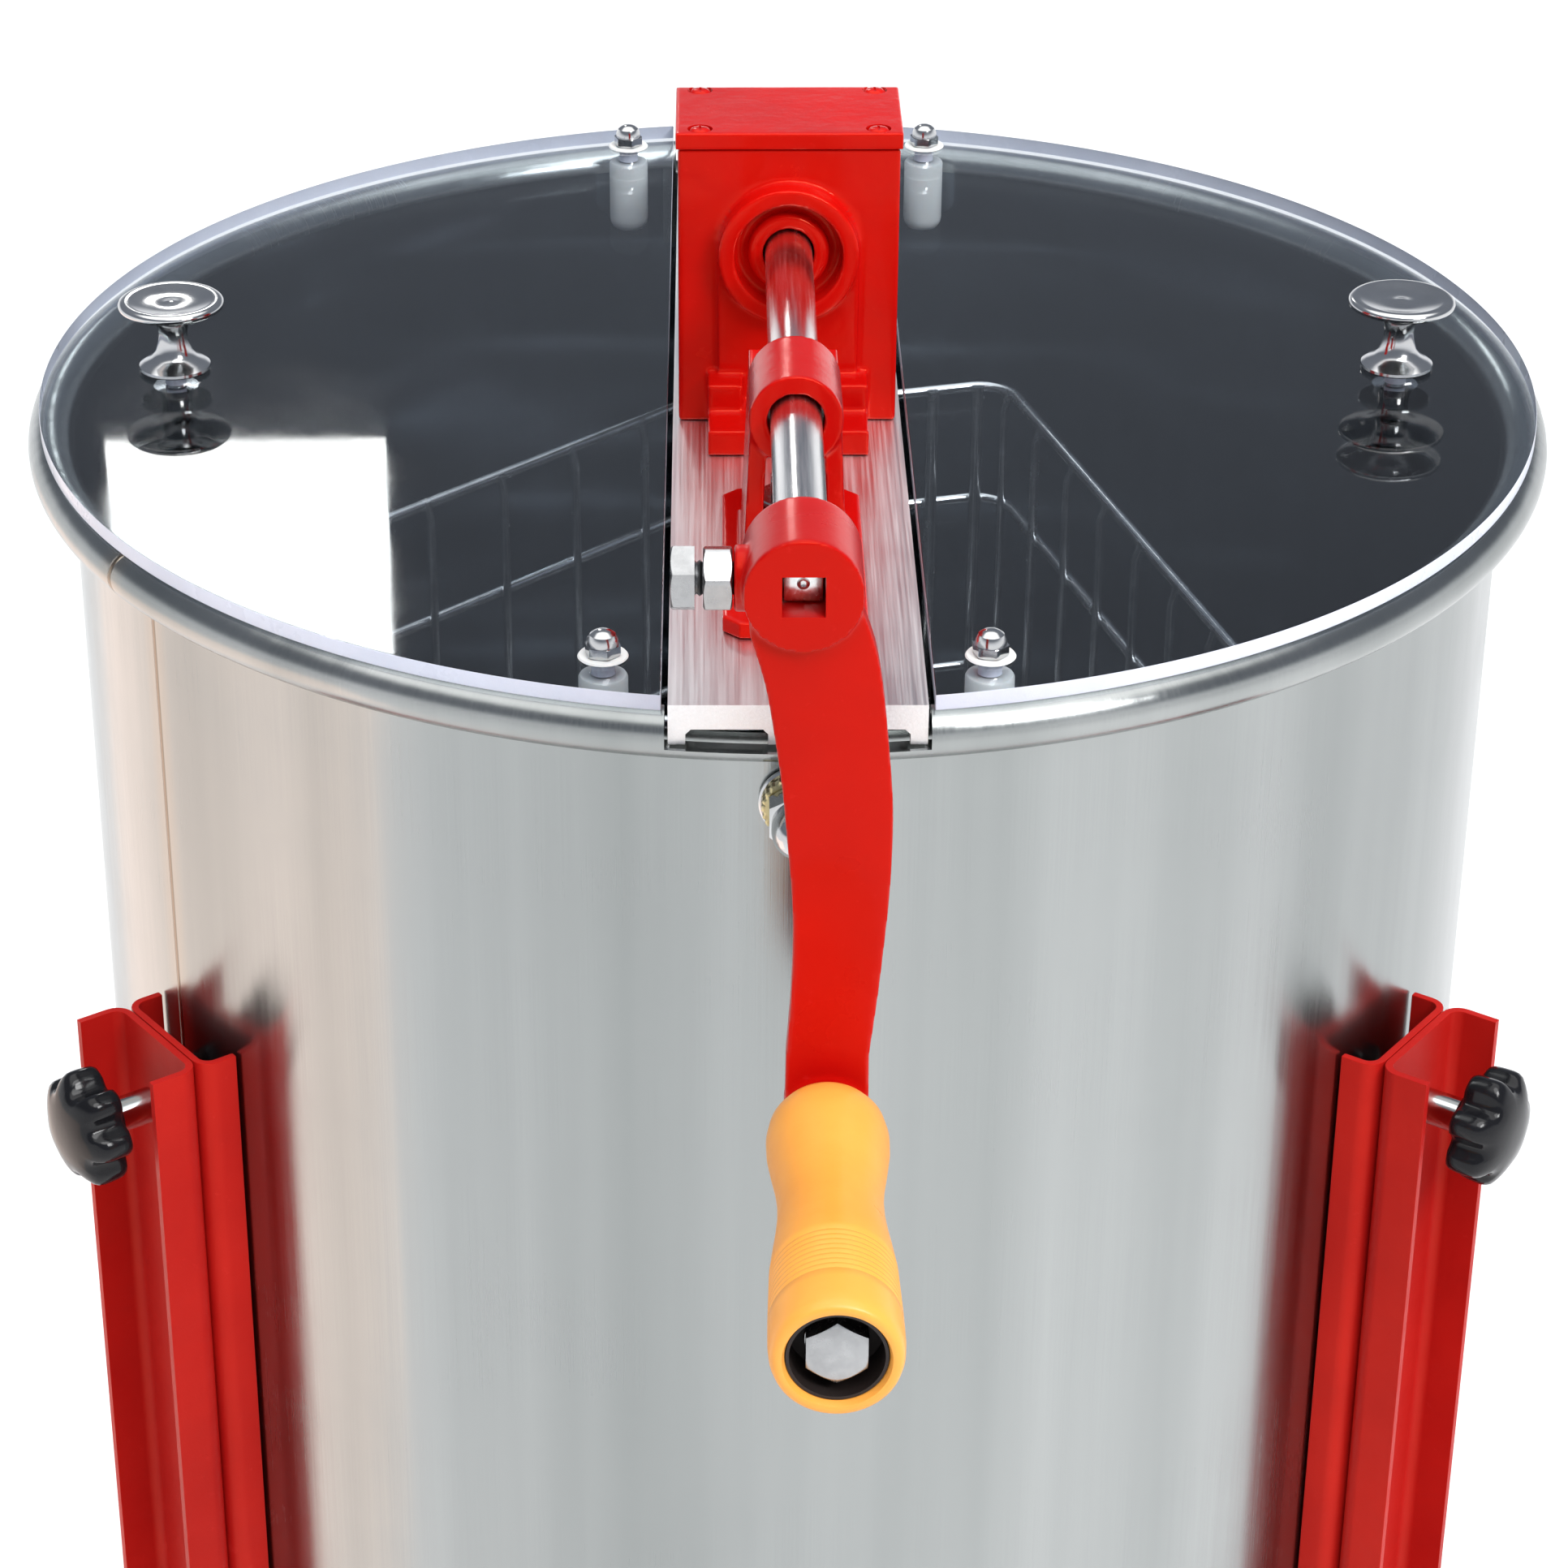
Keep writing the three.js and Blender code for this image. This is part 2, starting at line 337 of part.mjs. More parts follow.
// ---- legs ----
LEG_AZ.forEach((az, k) => {
  const turn = az - 90, w = LEG_W / 2, n = k + 1;    // local +X is radial
  const chan = (r0, r1, open, zb) => {
    const o = open > 0 ? [[r0, -w], [r1, -w], [r1, -w + LEG_T], [r0 + LEG_T, -w + LEG_T], [r0 + LEG_T, w - LEG_T], [r1, w - LEG_T], [r1, w], [r0, w]]
      : [[r1, -w], [r1, w], [r0, w], [r0, w - LEG_T], [r1 - LEG_T, w - LEG_T], [r1 - LEG_T, -w + LEG_T], [r0, -w + LEG_T], [r0, -w]];
    return prism(o, zb, LEG_TOP);
  };
  const holes = KNOB_Z.map((z) => rod('x', 190, 215, 3.4, [0, z], 12));
  add('leg_bracket_' + n, spin(cut(chan(188.6, 199, -1, -560), ...holes), turn), LEGRED);
  add('leg_' + n, spin(cut(chan(199.3, 213, 1, -912), ...holes), turn), LEGRED);
  const sock = prism([[198.9, -w - 0.4], [213.4, -w - 0.4], [213.4, -w + LEG_T + 0.4], [201.7, -w + LEG_T + 0.4], [201.7, w - LEG_T - 0.4], [213.4, w - LEG_T - 0.4], [213.4, w + 0.4], [198.9, w + 0.4]], -912.3, -880);
  add('leg_foot_' + n, spin(cut(box(196, 217, -w - 3.4, w + 3.4, -920, -895), sock), turn), BLACK);
  KNOB_Z.forEach((z, j) => {
    const lobes = [];
    for (let i = 0; i < 28; i++) { const a = (i * 2 * Math.PI) / 28, r = 14.6 + 1.4 * Math.cos(7 * a); lobes.push([r * Math.cos(a), r * Math.sin(a)]); }
    const kn = fuse(prism(lobes, 216, 230), rod('z', 213.5, 216.5, 7, [0, 0], 16), rod('z', 190, 214, 3, [0, 0], 10));
    kn.rotateY(Math.PI / 2);
    kn.translate(0, 0, z);
    add(`leg_knob_${n}_${j ? 'lower' : 'upper'}`, spin(kn, turn), BLACK);
  });
});

// ---- honey gate ----
{
  const rg = GATE_R;
  const flangeY = -213, zc = GATE_Z;
  let b = turned([[rg, -213], [rg + 10, -213], [rg + 10, -208], [rg + 2, -208], [rg + 2, -186.2], [rg, -186.2]], 32, 'y', [0, zc]);
  b = fuse(b, box(-8, 8, -213, -208, zc + 26, zc + 42), box(-8, 8, -213, -208, zc - 42 + 12, zc - 26));
  b = cut(b, rod('y', -220, -200, 3.3, [0, zc + 35], 12));
  add('gate_body', b, BRIGHT);
  const disc = Array.from({ length: 32 }, (_, i) => { const a = (i * 2 * Math.PI) / 32; return [27 * Math.cos(a), zc + 27 * Math.sin(a)]; });
  let f = fuse(slabY(disc, -217.8, -213.3), slabY([[-8, zc + 20], [8, zc + 20], [8, zc + 38], [5, zc + 42], [-5, zc + 42], [-8, zc + 38]], -217.8, -213.3), slabY([[-5, zc - 34], [5, zc - 34], [5, zc - 20], [-5, zc - 20]], -217.8, -213.3));
  f = cut(f, rod('y', -220, -200, 3.3, [0, zc + 35], 12));
  add('gate_flap', f, BRIGHT);
  const hubw = turned([[0, -206.5], [5, -206.5], [5, -207.7], [3, -207.7], [3, -218.1], [7, -218.1], [7, -224], [4.5, -227], [0, -227]], 20, 'y', [0, zc + 35]);
  const wing = slabY([[-18, zc + 31], [-13, zc + 30], [0, zc + 33], [13, zc + 30], [18, zc + 31], [18, zc + 39], [13, zc + 42], [0, zc + 37], [-13, zc + 42], [-18, zc + 39]], -223.5, -220.5);
  add('gate_wing_nut', fuse(hubw, wing), BRIGHT);
}

export default root;
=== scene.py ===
import bpy, bmesh, json, math
from mathutils import Matrix, Vector

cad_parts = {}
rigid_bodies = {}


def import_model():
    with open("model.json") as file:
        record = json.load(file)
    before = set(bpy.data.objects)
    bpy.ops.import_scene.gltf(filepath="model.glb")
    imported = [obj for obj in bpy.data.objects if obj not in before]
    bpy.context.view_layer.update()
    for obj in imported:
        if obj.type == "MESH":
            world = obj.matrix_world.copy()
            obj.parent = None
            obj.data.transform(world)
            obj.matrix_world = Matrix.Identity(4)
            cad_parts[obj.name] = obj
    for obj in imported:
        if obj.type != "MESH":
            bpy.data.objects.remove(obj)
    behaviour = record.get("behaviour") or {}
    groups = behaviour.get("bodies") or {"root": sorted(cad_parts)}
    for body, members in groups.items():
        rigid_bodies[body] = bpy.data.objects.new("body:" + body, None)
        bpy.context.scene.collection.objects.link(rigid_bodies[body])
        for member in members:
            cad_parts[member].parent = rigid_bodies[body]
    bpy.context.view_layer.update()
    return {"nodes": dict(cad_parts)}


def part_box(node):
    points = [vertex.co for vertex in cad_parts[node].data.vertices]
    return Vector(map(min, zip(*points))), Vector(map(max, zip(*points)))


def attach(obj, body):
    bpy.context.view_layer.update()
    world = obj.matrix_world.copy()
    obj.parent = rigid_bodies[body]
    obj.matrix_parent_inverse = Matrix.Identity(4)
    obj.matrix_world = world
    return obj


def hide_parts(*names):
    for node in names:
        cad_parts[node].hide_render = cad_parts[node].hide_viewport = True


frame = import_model()
NODES = frame["nodes"]
pi, sin, cos, rad = math.pi, math.sin, math.cos, math.radians

# The drum axis and the rim come from the frame itself (metres), everything below is in mm from there.
_lo, _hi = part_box("drum_shell")
AX = (_lo.x + _hi.x) / 2.0
AY = (_lo.y + _hi.y) / 2.0
RZ = _hi.z


def W(p):
    return (AX + p[0] / 1000.0, AY + p[1] / 1000.0, RZ + p[2] / 1000.0)


# ------------------------------------------------------------------ materials
def new_mat(name):
    m = bpy.data.materials.new(name)
    m.use_nodes = True
    nt = m.node_tree
    nt.nodes.clear()
    out = nt.nodes.new("ShaderNodeOutputMaterial")
    b = nt.nodes.new("ShaderNodeBsdfPrincipled")
    nt.links.new(b.outputs[0], out.inputs[0])
    return m, nt, b, out


def coords(nt, scale=(1, 1, 1)):
    tc = nt.nodes.new("ShaderNodeTexCoord")
    mp = nt.nodes.new("ShaderNodeMapping")
    mp.inputs["Scale"].default_value = scale
    nt.links.new(tc.outputs["Object"], mp.inputs["Vector"])
    return mp.outputs["Vector"]


def noise(nt, vec, scale, detail=4, rough=0.55, dist=0.0):
    n = nt.nodes.new("ShaderNodeTexNoise")
    n.inputs["Scale"].default_value = scale
    n.inputs["Detail"].default_value = detail
    n.inputs["Roughness"].default_value = rough
    n.inputs["Distortion"].default_value = dist
    nt.links.new(vec, n.inputs["Vector"])
    return n.outputs["Fac"]


def ramp(nt, fac, stops):
    r = nt.nodes.new("ShaderNodeValToRGB")
    e = r.color_ramp.elements
    e[0].position, e[0].color = stops[0][0], (*stops[0][1], 1)
    e[1].position, e[1].color = stops[-1][0], (*stops[-1][1], 1)
    for p, c in stops[1:-1]:
        k = e.new(p)
        k.color = (*c, 1)
    nt.links.new(fac, r.inputs[0])
    return r.outputs[0]


def span(nt, fac, a, b, c, d):
    m = nt.nodes.new("ShaderNodeMapRange")
    m.inputs[1].default_value, m.inputs[2].default_value = a, b
    m.inputs[3].default_value, m.inputs[4].default_value = c, d
    nt.links.new(fac, m.inputs[0])
    return m.outputs[0]


def math_node(nt, op, a, b=None):
    m = nt.nodes.new("ShaderNodeMath")
    m.operation = op
    for i, v in enumerate((a, b)):
        if v is None:
            continue
        if isinstance(v, (int, float)):
            m.inputs[i].default_value = v
        else:
            nt.links.new(v, m.inputs[i])
    return m.outputs[0]


def mixc(nt, fac, a, b, mode="MIX"):
    m = nt.nodes.new("ShaderNodeMix")
    m.data_type = "RGBA"
    m.blend_type = mode
    for s, v in ((m.inputs[0], fac), (m.inputs[6], a), (m.inputs[7], b)):
        if isinstance(v, (int, float)):
            s.default_value = v
        elif isinstance(v, tuple):
            s.default_value = (*v, 1)
        else:
            nt.links.new(v, s)
    return m.outputs[2]


def bump(nt, bsdf, height, strength, dist, prev=None):
    n = nt.nodes.new("ShaderNodeBump")
    n.inputs["Strength"].default_value = strength
    n.inputs["Distance"].default_value = dist
    nt.links.new(height, n.inputs["Height"])
    if prev is not None:
        nt.links.new(prev, n.inputs["Normal"])
    nt.links.new(n.outputs[0], bsdf.inputs["Normal"])
    return n.outputs[0]


def paint(name, col, dark, rough=0.22, orange=0.25, grain=900, coat=0.6, dust=0.0, lump=60):
    """Enamel over a casting or sheet: slow colour drift, sag, orange peel, dulled patches."""
    m, nt, b, _ = new_mat(name)
    v = coords(nt)
    big = noise(nt, v, 14, 5)
    fine = noise(nt, v, grain, 3)
    c = ramp(nt, big, [(0.32, dark), (0.68, col)])
    spk = noise(nt, v, 260, 6, 0.7)
    c = mixc(nt, span(nt, spk, 0.62, 0.75, 0.0, 0.35), c, tuple(min(1.0, x * 1.18 + 0.02) for x in col))
    # worn, brighter edge-like scuffs
    sc = noise(nt, coords(nt, (40, 40, 9)), 8, 8, 0.75, 1.2)
    c = mixc(nt, span(nt, sc, 0.68, 0.78, 0.0, 0.10 + dust), c, (0.80, 0.16, 0.11))
    nt.links.new(c, b.inputs["Base Color"])
    r = span(nt, noise(nt, v, 33, 6), 0.3, 0.75, rough, rough + 0.16)
    nt.links.new(r, b.inputs["Roughness"])
    b.inputs["Coat Weight"].default_value = coat
    b.inputs["Coat Roughness"].default_value = 0.06
    b.inputs["Specular IOR Level"].default_value = 0.5
    b.inputs["Specular Tint"].default_value = (1.0, 0.20, 0.08, 1)
    n1 = bump(nt, b, noise(nt, v, lump, 3), orange, 0.0012)
    bump(nt, b, fine, orange * 0.6, 0.0002, n1)
    return m


def steel(name, col=(0.62, 0.63, 0.64), rough=0.22, stretch=(1, 1, 1), grain=400, depth=0.05, spots=0.1, var=0.1):
    """Bright metal with a drawn grain along one axis, faint smudges and tarnish."""
    m, nt, b, _ = new_mat(name)
    g = coords(nt, stretch)
    v = coords(nt)
    lines = noise(nt, g, grain, 3, 0.6)
    smud = noise(nt, v, 22, 6, 0.65)
    lo = tuple(x * (1 - var) for x in col)
    hi = tuple(min(1, x * (1 + var * 0.6)) for x in col)
    c = ramp(nt, lines, [(0.3, lo), (0.7, hi)])
    c = mixc(nt, span(nt, smud, 0.55, 0.75, 0, spots), c, tuple(x * 0.72 for x in col))
    nt.links.new(c, b.inputs["Base Color"])
    b.inputs["Metallic"].default_value = 1.0
    r = math_node(nt, "ADD", span(nt, lines, 0.3, 0.7, rough * 0.75, rough * 1.25), span(nt, smud, 0.4, 0.8, 0.0, 0.09))
    nt.links.new(r, b.inputs["Roughness"])
    bump(nt, b, lines, depth, 0.0002)
    return m


def plastic(name, col, dark, rough=0.4, grain=300, depth=0.08, coat=0.0, sss=0.0, spec=0.4):
    m, nt, b, _ = new_mat(name)
    v = coords(nt)
    c = ramp(nt, noise(nt, v, 18, 6, 0.6), [(0.3, dark), (0.7, col)])
    nt.links.new(c, b.inputs["Base Color"])
    nt.links.new(span(nt, noise(nt, v, 45, 6), 0.3, 0.7, rough * 0.8, rough * 1.3), b.inputs["Roughness"])
    b.inputs["Coat Weight"].default_value = coat
    b.inputs["Coat Roughness"].default_value = 0.08
    b.inputs["Specular IOR Level"].default_value = spec
    if sss:
        b.inputs["Subsurface Weight"].default_value = sss
        b.inputs["Subsurface Radius"].default_value = (0.004, 0.003, 0.0025)
    bump(nt, b, noise(nt, v, grain, 4), depth, 0.0003)
    return m


def drum_material():
    """Polished sheet steel: rolling grain down the wall, faint waviness, welded seam, rubbed patches."""
    m, nt, b, _ = new_mat("drum_polished_sheet")
    tc = nt.nodes.new("ShaderNodeTexCoord")
    sep = nt.nodes.new("ShaderNodeSeparateXYZ")
    nt.links.new(tc.outputs["Object"], sep.inputs[0])
    y = math_node(nt, "SUBTRACT", sep.outputs[1], AY)
    ang = math_node(nt, "ARCTAN2", sep.outputs[0], math_node(nt, "MULTIPLY", y, -1.0))  # 0 at the front, + to the right
    comb = nt.nodes.new("ShaderNodeCombineXYZ")
    nt.links.new(math_node(nt, "MULTIPLY", ang, 60.0), comb.inputs[0])
    nt.links.new(math_node(nt, "MULTIPLY", sep.outputs[2], 1.6), comb.inputs[2])
    lines = noise(nt, comb.outputs[0], 8.0, 5, 0.6)
    comb2 = nt.nodes.new("ShaderNodeCombineXYZ")
    nt.links.new(math_node(nt, "MULTIPLY", ang, 3.2), comb2.inputs[0])
    nt.links.new(math_node(nt, "MULTIPLY", sep.outputs[2], 0.5), comb2.inputs[2])
    bands = noise(nt, comb2.outputs[0], 1.6, 3, 0.5)
    smud = noise(nt, tc.outputs["Object"], 9.0, 7, 0.65)
    c = ramp(nt, bands, [(0.3, (0.29, 0.308, 0.303)), (0.7, (0.40, 0.415, 0.41))])
    c = mixc(nt, span(nt, lines, 0.35, 0.75, 0.0, 0.14), c, (0.33, 0.33, 0.34))
    c = mixc(nt, span(nt, smud, 0.58, 0.78, 0.0, 0.16), c, (0.36, 0.36, 0.37))
    seam = math_node(nt, "ABSOLUTE", math_node(nt, "ADD", ang, rad(56.5)))
    dark = span(nt, seam, 0.0022, 0.0052, 1.0, 0.0)
    c = mixc(nt, dark, c, (0.16, 0.12, 0.09))
    tint = span(nt, seam, 0.004, 0.035, 0.30, 0.0)
    c = mixc(nt, tint, c, (0.46, 0.36, 0.26))
    nt.links.new(c, b.inputs["Base Color"])
    b.inputs["Metallic"].default_value = 1.0
    r = math_node(nt, "ADD", span(nt, lines, 0.3, 0.7, 0.17, 0.25), span(nt, smud, 0.45, 0.8, 0.0, 0.1))
    nt.links.new(r, b.inputs["Roughness"])
    tg = nt.nodes.new("ShaderNodeTangent")
    tg.direction_type, tg.axis = "RADIAL", "Z"
    nt.links.new(tg.outputs[0], b.inputs["Tangent"])
    b.inputs["Anisotropic"].default_value = 0.75
    b.inputs["Anisotropic Rotation"].default_value = 0.25
    n1 = bump(nt, b, bands, 0.16, 0.004)
    n2 = bump(nt, b, lines, 0.03, 0.0004, n1)
    bump(nt, b, dark, 0.6, 0.0006, n2)
    return m


def clear_material():
    """Clear acrylic sheet: see-through with a Fresnel gloss, hairline scratches and dust."""
    m = bpy.data.materials.new("clear_acrylic")
    m.use_nodes = True
    nt = m.node_tree
    nt.nodes.clear()
    out = nt.nodes.new("ShaderNodeOutputMaterial")
    tr = nt.nodes.new("ShaderNodeBsdfTransparent")
    gl = nt.nodes.new("ShaderNodeBsdfPrincipled")
    lw = nt.nodes.new("ShaderNodeLayerWeight")
    lw.inputs["Blend"].default_value = 0.5
    graze = math_node(nt, "POWER", lw.outputs["Facing"], 5.0)
    refl = math_node(nt, "ADD", math_node(nt, "MULTIPLY", graze, 0.95), 0.035)
    mx = nt.nodes.new("ShaderNodeMixShader")
    v = coords(nt)
    dust = noise(nt, v, 700, 4, 0.75)
    scr = noise(nt, coords(nt, (6, 90, 6)), 9, 8, 0.8, 2.0)
    scr2 = noise(nt, coords(nt, (70, 7, 6)), 8, 8, 0.8, 1.6)
    marks = math_node(nt, "ADD", span(nt, dust, 0.68, 0.78, 0.0, 0.30), math_node(nt, "ADD", span(nt, scr, 0.70, 0.73, 0.0, 0.05), span(nt, scr2, 0.70, 0.73, 0.0, 0.05)))
    tr.inputs[0].default_value = (0.93, 0.95, 0.965, 1)
    gl.inputs["Base Color"].default_value = (0.93, 0.94, 0.95, 1)
    gl.inputs["Metallic"].default_value = 1.0
    nt.links.new(span(nt, noise(nt, v, 30, 5), 0.3, 0.7, 0.015, 0.05), gl.inputs["Roughness"])
    fac = math_node(nt, "ADD", refl, math_node(nt, "MULTIPLY", marks, 0.30))
    nt.links.new(fac, mx.inputs[0])
    nt.links.new(tr.outputs[0], mx.inputs[1])
    nt.links.new(gl.outputs[0], mx.inputs[2])
    nt.links.new(mx.outputs[0], out.inputs[0])
    n = nt.nodes.new("ShaderNodeBump")
    n.inputs["Strength"].default_value = 0.05
    n.inputs["Distance"].default_value = 0.002
    nt.links.new(noise(nt, v, 6, 2), n.inputs["Height"])
    nt.links.new(n.outputs[0], gl.inputs["Normal"])
    return m


def gate_material():
    return steel("plated_casting", (0.66, 0.67, 0.68), 0.2, (1, 1, 1), 150, 0.12, 0.2)


M = {
    "drum": drum_material(),
    # darker, bluer copy of the drum steel for the inside faces: painted shade for the shadowed interior, not a
    # different sheet
    "inner": steel("polished_inner_sheet", (0.16, 0.185, 0.215), 0.12, (1, 1, 0.2), 30, 0.05, 0.45, 0.35),
    "red": paint("red_enamel", (0.60, 0.004, 0.002), (0.44, 0.002, 0.002), 0.15, 0.40, 700, 0.06),
    "redarm": paint("red_enamel_arm", (0.54, 0.003, 0.002), (0.43, 0.002, 0.002), 0.24, 0.20, 700, 0.04, 0.0, 40),
    "leg": paint("red_powder_coat", (0.50, 0.012, 0.009), (0.38, 0.006, 0.006), 0.40, 0.22, 1500, 0.0, 0.03),
    "chrome": steel("chrome_plate", (0.58, 0.585, 0.59), 0.12, (1, 1, 1), 90, 0.03, 0.15, 0.06),
    "bolt": steel("zinc_bolt", (0.40, 0.405, 0.41), 0.24, (1, 1, 1), 240, 0.10, 0.35, 0.15),
    "zinc": steel("zinc_plated", (0.60, 0.61, 0.62), 0.26, (1, 1, 1), 260, 0.12, 0.3, 0.12),
    "yzinc": steel("yellow_zinc", (0.52, 0.46, 0.26), 0.30, (1, 1, 1), 260, 0.12, 0.3, 0.16),
    "shaft": steel("ground_shaft", (0.80, 0.79, 0.78), 0.20, (60, 2, 60), 20, 0.06, 0.2, 0.14),
    "alu": steel("aluminium_extrusion", (0.86, 0.865, 0.87), 0.38, (90, 1.2, 90), 14, 0.16, 0.18, 0.10),
    "wire": steel("bright_wire", (0.66, 0.67, 0.68), 0.20, (1, 1, 1), 120, 0.06, 0.3, 0.12),
    "bronze": steel("sintered_bronze", (0.42, 0.27, 0.13), 0.42, (1, 1, 1), 500, 0.25, 0.4, 0.2),
    "gear": steel("greased_iron", (0.20, 0.20, 0.20), 0.38, (1, 1, 1), 200, 0.2, 0.5, 0.25),
    "black": plastic("black_gloss_plastic", (0.010, 0.010, 0.012), (0.005, 0.005, 0.006), 0.13, 260, 0.06, 0.0, 0.0, 0.26),
    "foot": plastic("black_moulded_foot", (0.025, 0.025, 0.027), (0.015, 0.015, 0.016), 0.5, 500, 0.3),
    "grip": plastic("orange_grip_plastic", (0.90, 0.40, 0.07), (0.82, 0.32, 0.045), 0.34, 500, 0.12, 0.0, 0.08, 0.35),
    "nylon": plastic("white_nylon", (0.82, 0.82, 0.80), (0.72, 0.73, 0.72), 0.32, 300, 0.06, 0.2, 0.35),
    "clear": clear_material(),
    "edge": plastic("acrylic_sawn_edge", (0.74, 0.76, 0.86), (0.58, 0.61, 0.72), 0.28, 900, 0.25, 0.3, 0.2),
    "gate": gate_material(),
    "hole": plastic("bore_shadow_grease", (0.02, 0.012, 0.010), (0.01, 0.008, 0.008), 0.5, 300, 0.3),
}


# ------------------------------------------------------------------ mesh helpers (mm)
def raw(name, verts, faces):
    me = bpy.data.meshes.new(name)
    me.from_pydata([W(v) for v in verts], [], faces)
    ob = bpy.data.objects.new(name, me)
    bpy.context.scene.collection.objects.link(ob)
    bm = bmesh.new()
    bm.from_mesh(me)
    bmesh.ops.remove_doubles(bm, verts=bm.verts, dist=1e-7)
    bmesh.ops.dissolve_degenerate(bm, dist=1e-8, edges=bm.edges)
    bmesh.ops.recalc_face_normals(bm, faces=bm.faces)
    bm.to_mesh(me)
    bm.free()
    return ob


def place(axis, u, v, h):
    """ring coordinates (u, v) round an axis at height h"""
    if axis == "z":
        return (u, v, h)
    if axis == "y":
        return (u, h, v)
    return (h, u, v)


def lathe(name, prof, seg=64, axis="z", c=(0, 0, 0), lobes=None):
    """prof: list of (r, h). Closes on itself unless both ends are on the axis. c: offset added in mm."""
    verts, faces = [], []
    on_axis = abs(prof[0][0]) < 1e-6 and abs(prof[-1][0]) < 1e-6
    rows = []
    for i, (r, h) in enumerate(prof):
        if r < 1e-6:
            rows.append([len(verts)])
            p = place(axis, 0, 0, h)
            verts.append((p[0] + c[0], p[1] + c[1], p[2] + c[2]))
        else:
            row = []
            for k in range(seg):
                a = 2 * pi * k / seg
                rr = r * (1 + (lobes(a, r, h) if lobes else 0.0))
                p = place(axis, rr * cos(a), rr * sin(a), h)
                row.append(len(verts))
                verts.append((p[0] + c[0], p[1] + c[1], p[2] + c[2]))
            rows.append(row)
    pairs = list(zip(rows[:-1], rows[1:]))
    if not on_axis:
        pairs.append((rows[-1], rows[0]))
    for a, b in pairs:
        if len(a) == 1 and len(b) == 1:
            continue
        for k in range(seg):
            j = (k + 1) % seg
            if len(a) == 1:
                faces.append((a[0], b[j], b[k]))
            elif len(b) == 1:
                faces.append((a[k], a[j], b[0]))
            else:
                faces.append((a[k], a[j], b[j], b[k]))
    return raw(name, verts, faces)


def prism(name, outline, h0, h1, plane="xy"):
    n = len(outline)

    def P(p, h):
        if plane == "xy":
            return (p[0], p[1], h)
        if plane == "xz":
            return (p[0], h, p[1])
        return (h, p[0], p[1])
    verts = [P(p, h0) for p in outline] + [P(p, h1) for p in outline]
    faces = [tuple(range(n - 1, -1, -1)), tuple(range(n, 2 * n))] + [(i, (i + 1) % n, n + (i + 1) % n, n + i) for i in range(n)]
    return raw(name, verts, faces)


def box(name, x0, x1, y0, y1, z0, z1):
    return prism(name, [(x0, y0), (x1, y0), (x1, y1), (x0, y1)], z0, z1)


def rod(name, axis, a, b, r, c=(0, 0, 0), seg=48, ch=0.0):
    if ch:
        return lathe(name, [(0, a), (r - ch, a), (r, a + ch), (r, b - ch), (r - ch, b), (0, b)], seg, axis, c)
    return lathe(name, [(0, a), (r, a), (r, b), (0, b)], seg, axis, c)


def hexbody(name, axis, a, b, af, c=(0, 0, 0), chamfer="b", bore=0.0, seg=72, turn=0.0):
    """hexagon with a turned chamfer on the given end(s)"""
    half, verts, faces = af / 2.0, [], []
    flat = half * 0.95
    s = 1 if b > a else -1

    def rh(t):
        q = (t - turn + pi / 6) % (pi / 3) - pi / 6
        return half / cos(q)
    rows = []

    def row(fr, fh):
        r = []
        for k in range(seg):
            t = 2 * pi * k / seg
            R = rh(t)
            rr, hh = fr(R), fh(R)
            p = place(axis, rr * cos(t), rr * sin(t), hh)
            r.append(len(verts))
            verts.append((p[0] + c[0], p[1] + c[1], p[2] + c[2]))
        rows.append(r)
    tan30 = 0.45

    def dot(h0):
        p = place(axis, 0, 0, h0)
        rows.append([len(verts)])
        verts.append((p[0] + c[0], p[1] + c[1], p[2] + c[2]))
    if bore:
        row(lambda R: bore, lambda R: a)
    else:
        dot(a)
    if "a" in chamfer:
        row(lambda R: flat, lambda R: a)
        row(lambda R: R, lambda R: a + s * (R - flat) * tan30)
    else:
        row(lambda R: R, lambda R: a)
    if "b" in chamfer:
        row(lambda R: R, lambda R: b - s * (R - flat) * tan30)
        row(lambda R: flat, lambda R: b)
    else:
        row(lambda R: R, lambda R: b)
    if bore:
        row(lambda R: bore, lambda R: b)
        rows.append(rows[0])
    else:
        dot(b)
    for A, B in zip(rows[:-1], rows[1:]):
        for k in range(seg):
            j = (k + 1) % seg
            if len(A) == 1:
                faces.append((A[0], B[j], B[k]))
            elif len(B) == 1:
                faces.append((A[k], A[j], B[0]))
            else:
                faces.append((A[k], A[j], B[j], B[k]))
    return raw(name, verts, faces)


def apply_mods(ob):
    dg = bpy.context.evaluated_depsgraph_get()
    dg.update()
    me = bpy.data.meshes.new_from_object(ob.evaluated_get(dg))
    ob.modifiers.clear()
    old = ob.data
    ob.data = me
    bpy.data.meshes.remove(old)
    return ob


def boolean(ob, other, op):
    m = ob.modifiers.new("b", "BOOLEAN")
    m.operation = op
    m.solver = "EXACT"
    m.object = other
    apply_mods(ob)
    me = other.data
    bpy.data.objects.remove(other)
    bpy.data.meshes.remove(me)
    return ob


def join(ob, *others):
    for o in others:
        boolean(ob, o, "UNION")
    return ob


def minus(ob, *others):
    for o in others:
        boolean(ob, o, "DIFFERENCE")
    return ob


def bevel(ob, w, seg=2, angle=32):
    m = ob.modifiers.new("v", "BEVEL")
    m.width = w / 1000.0
    m.segments = seg
    m.limit_method = "ANGLE"
    m.angle_limit = rad(angle)
    m.harden_normals = False
    m.use_clamp_overlap = True
    ob["flats"] = 1
    return apply_mods(ob)


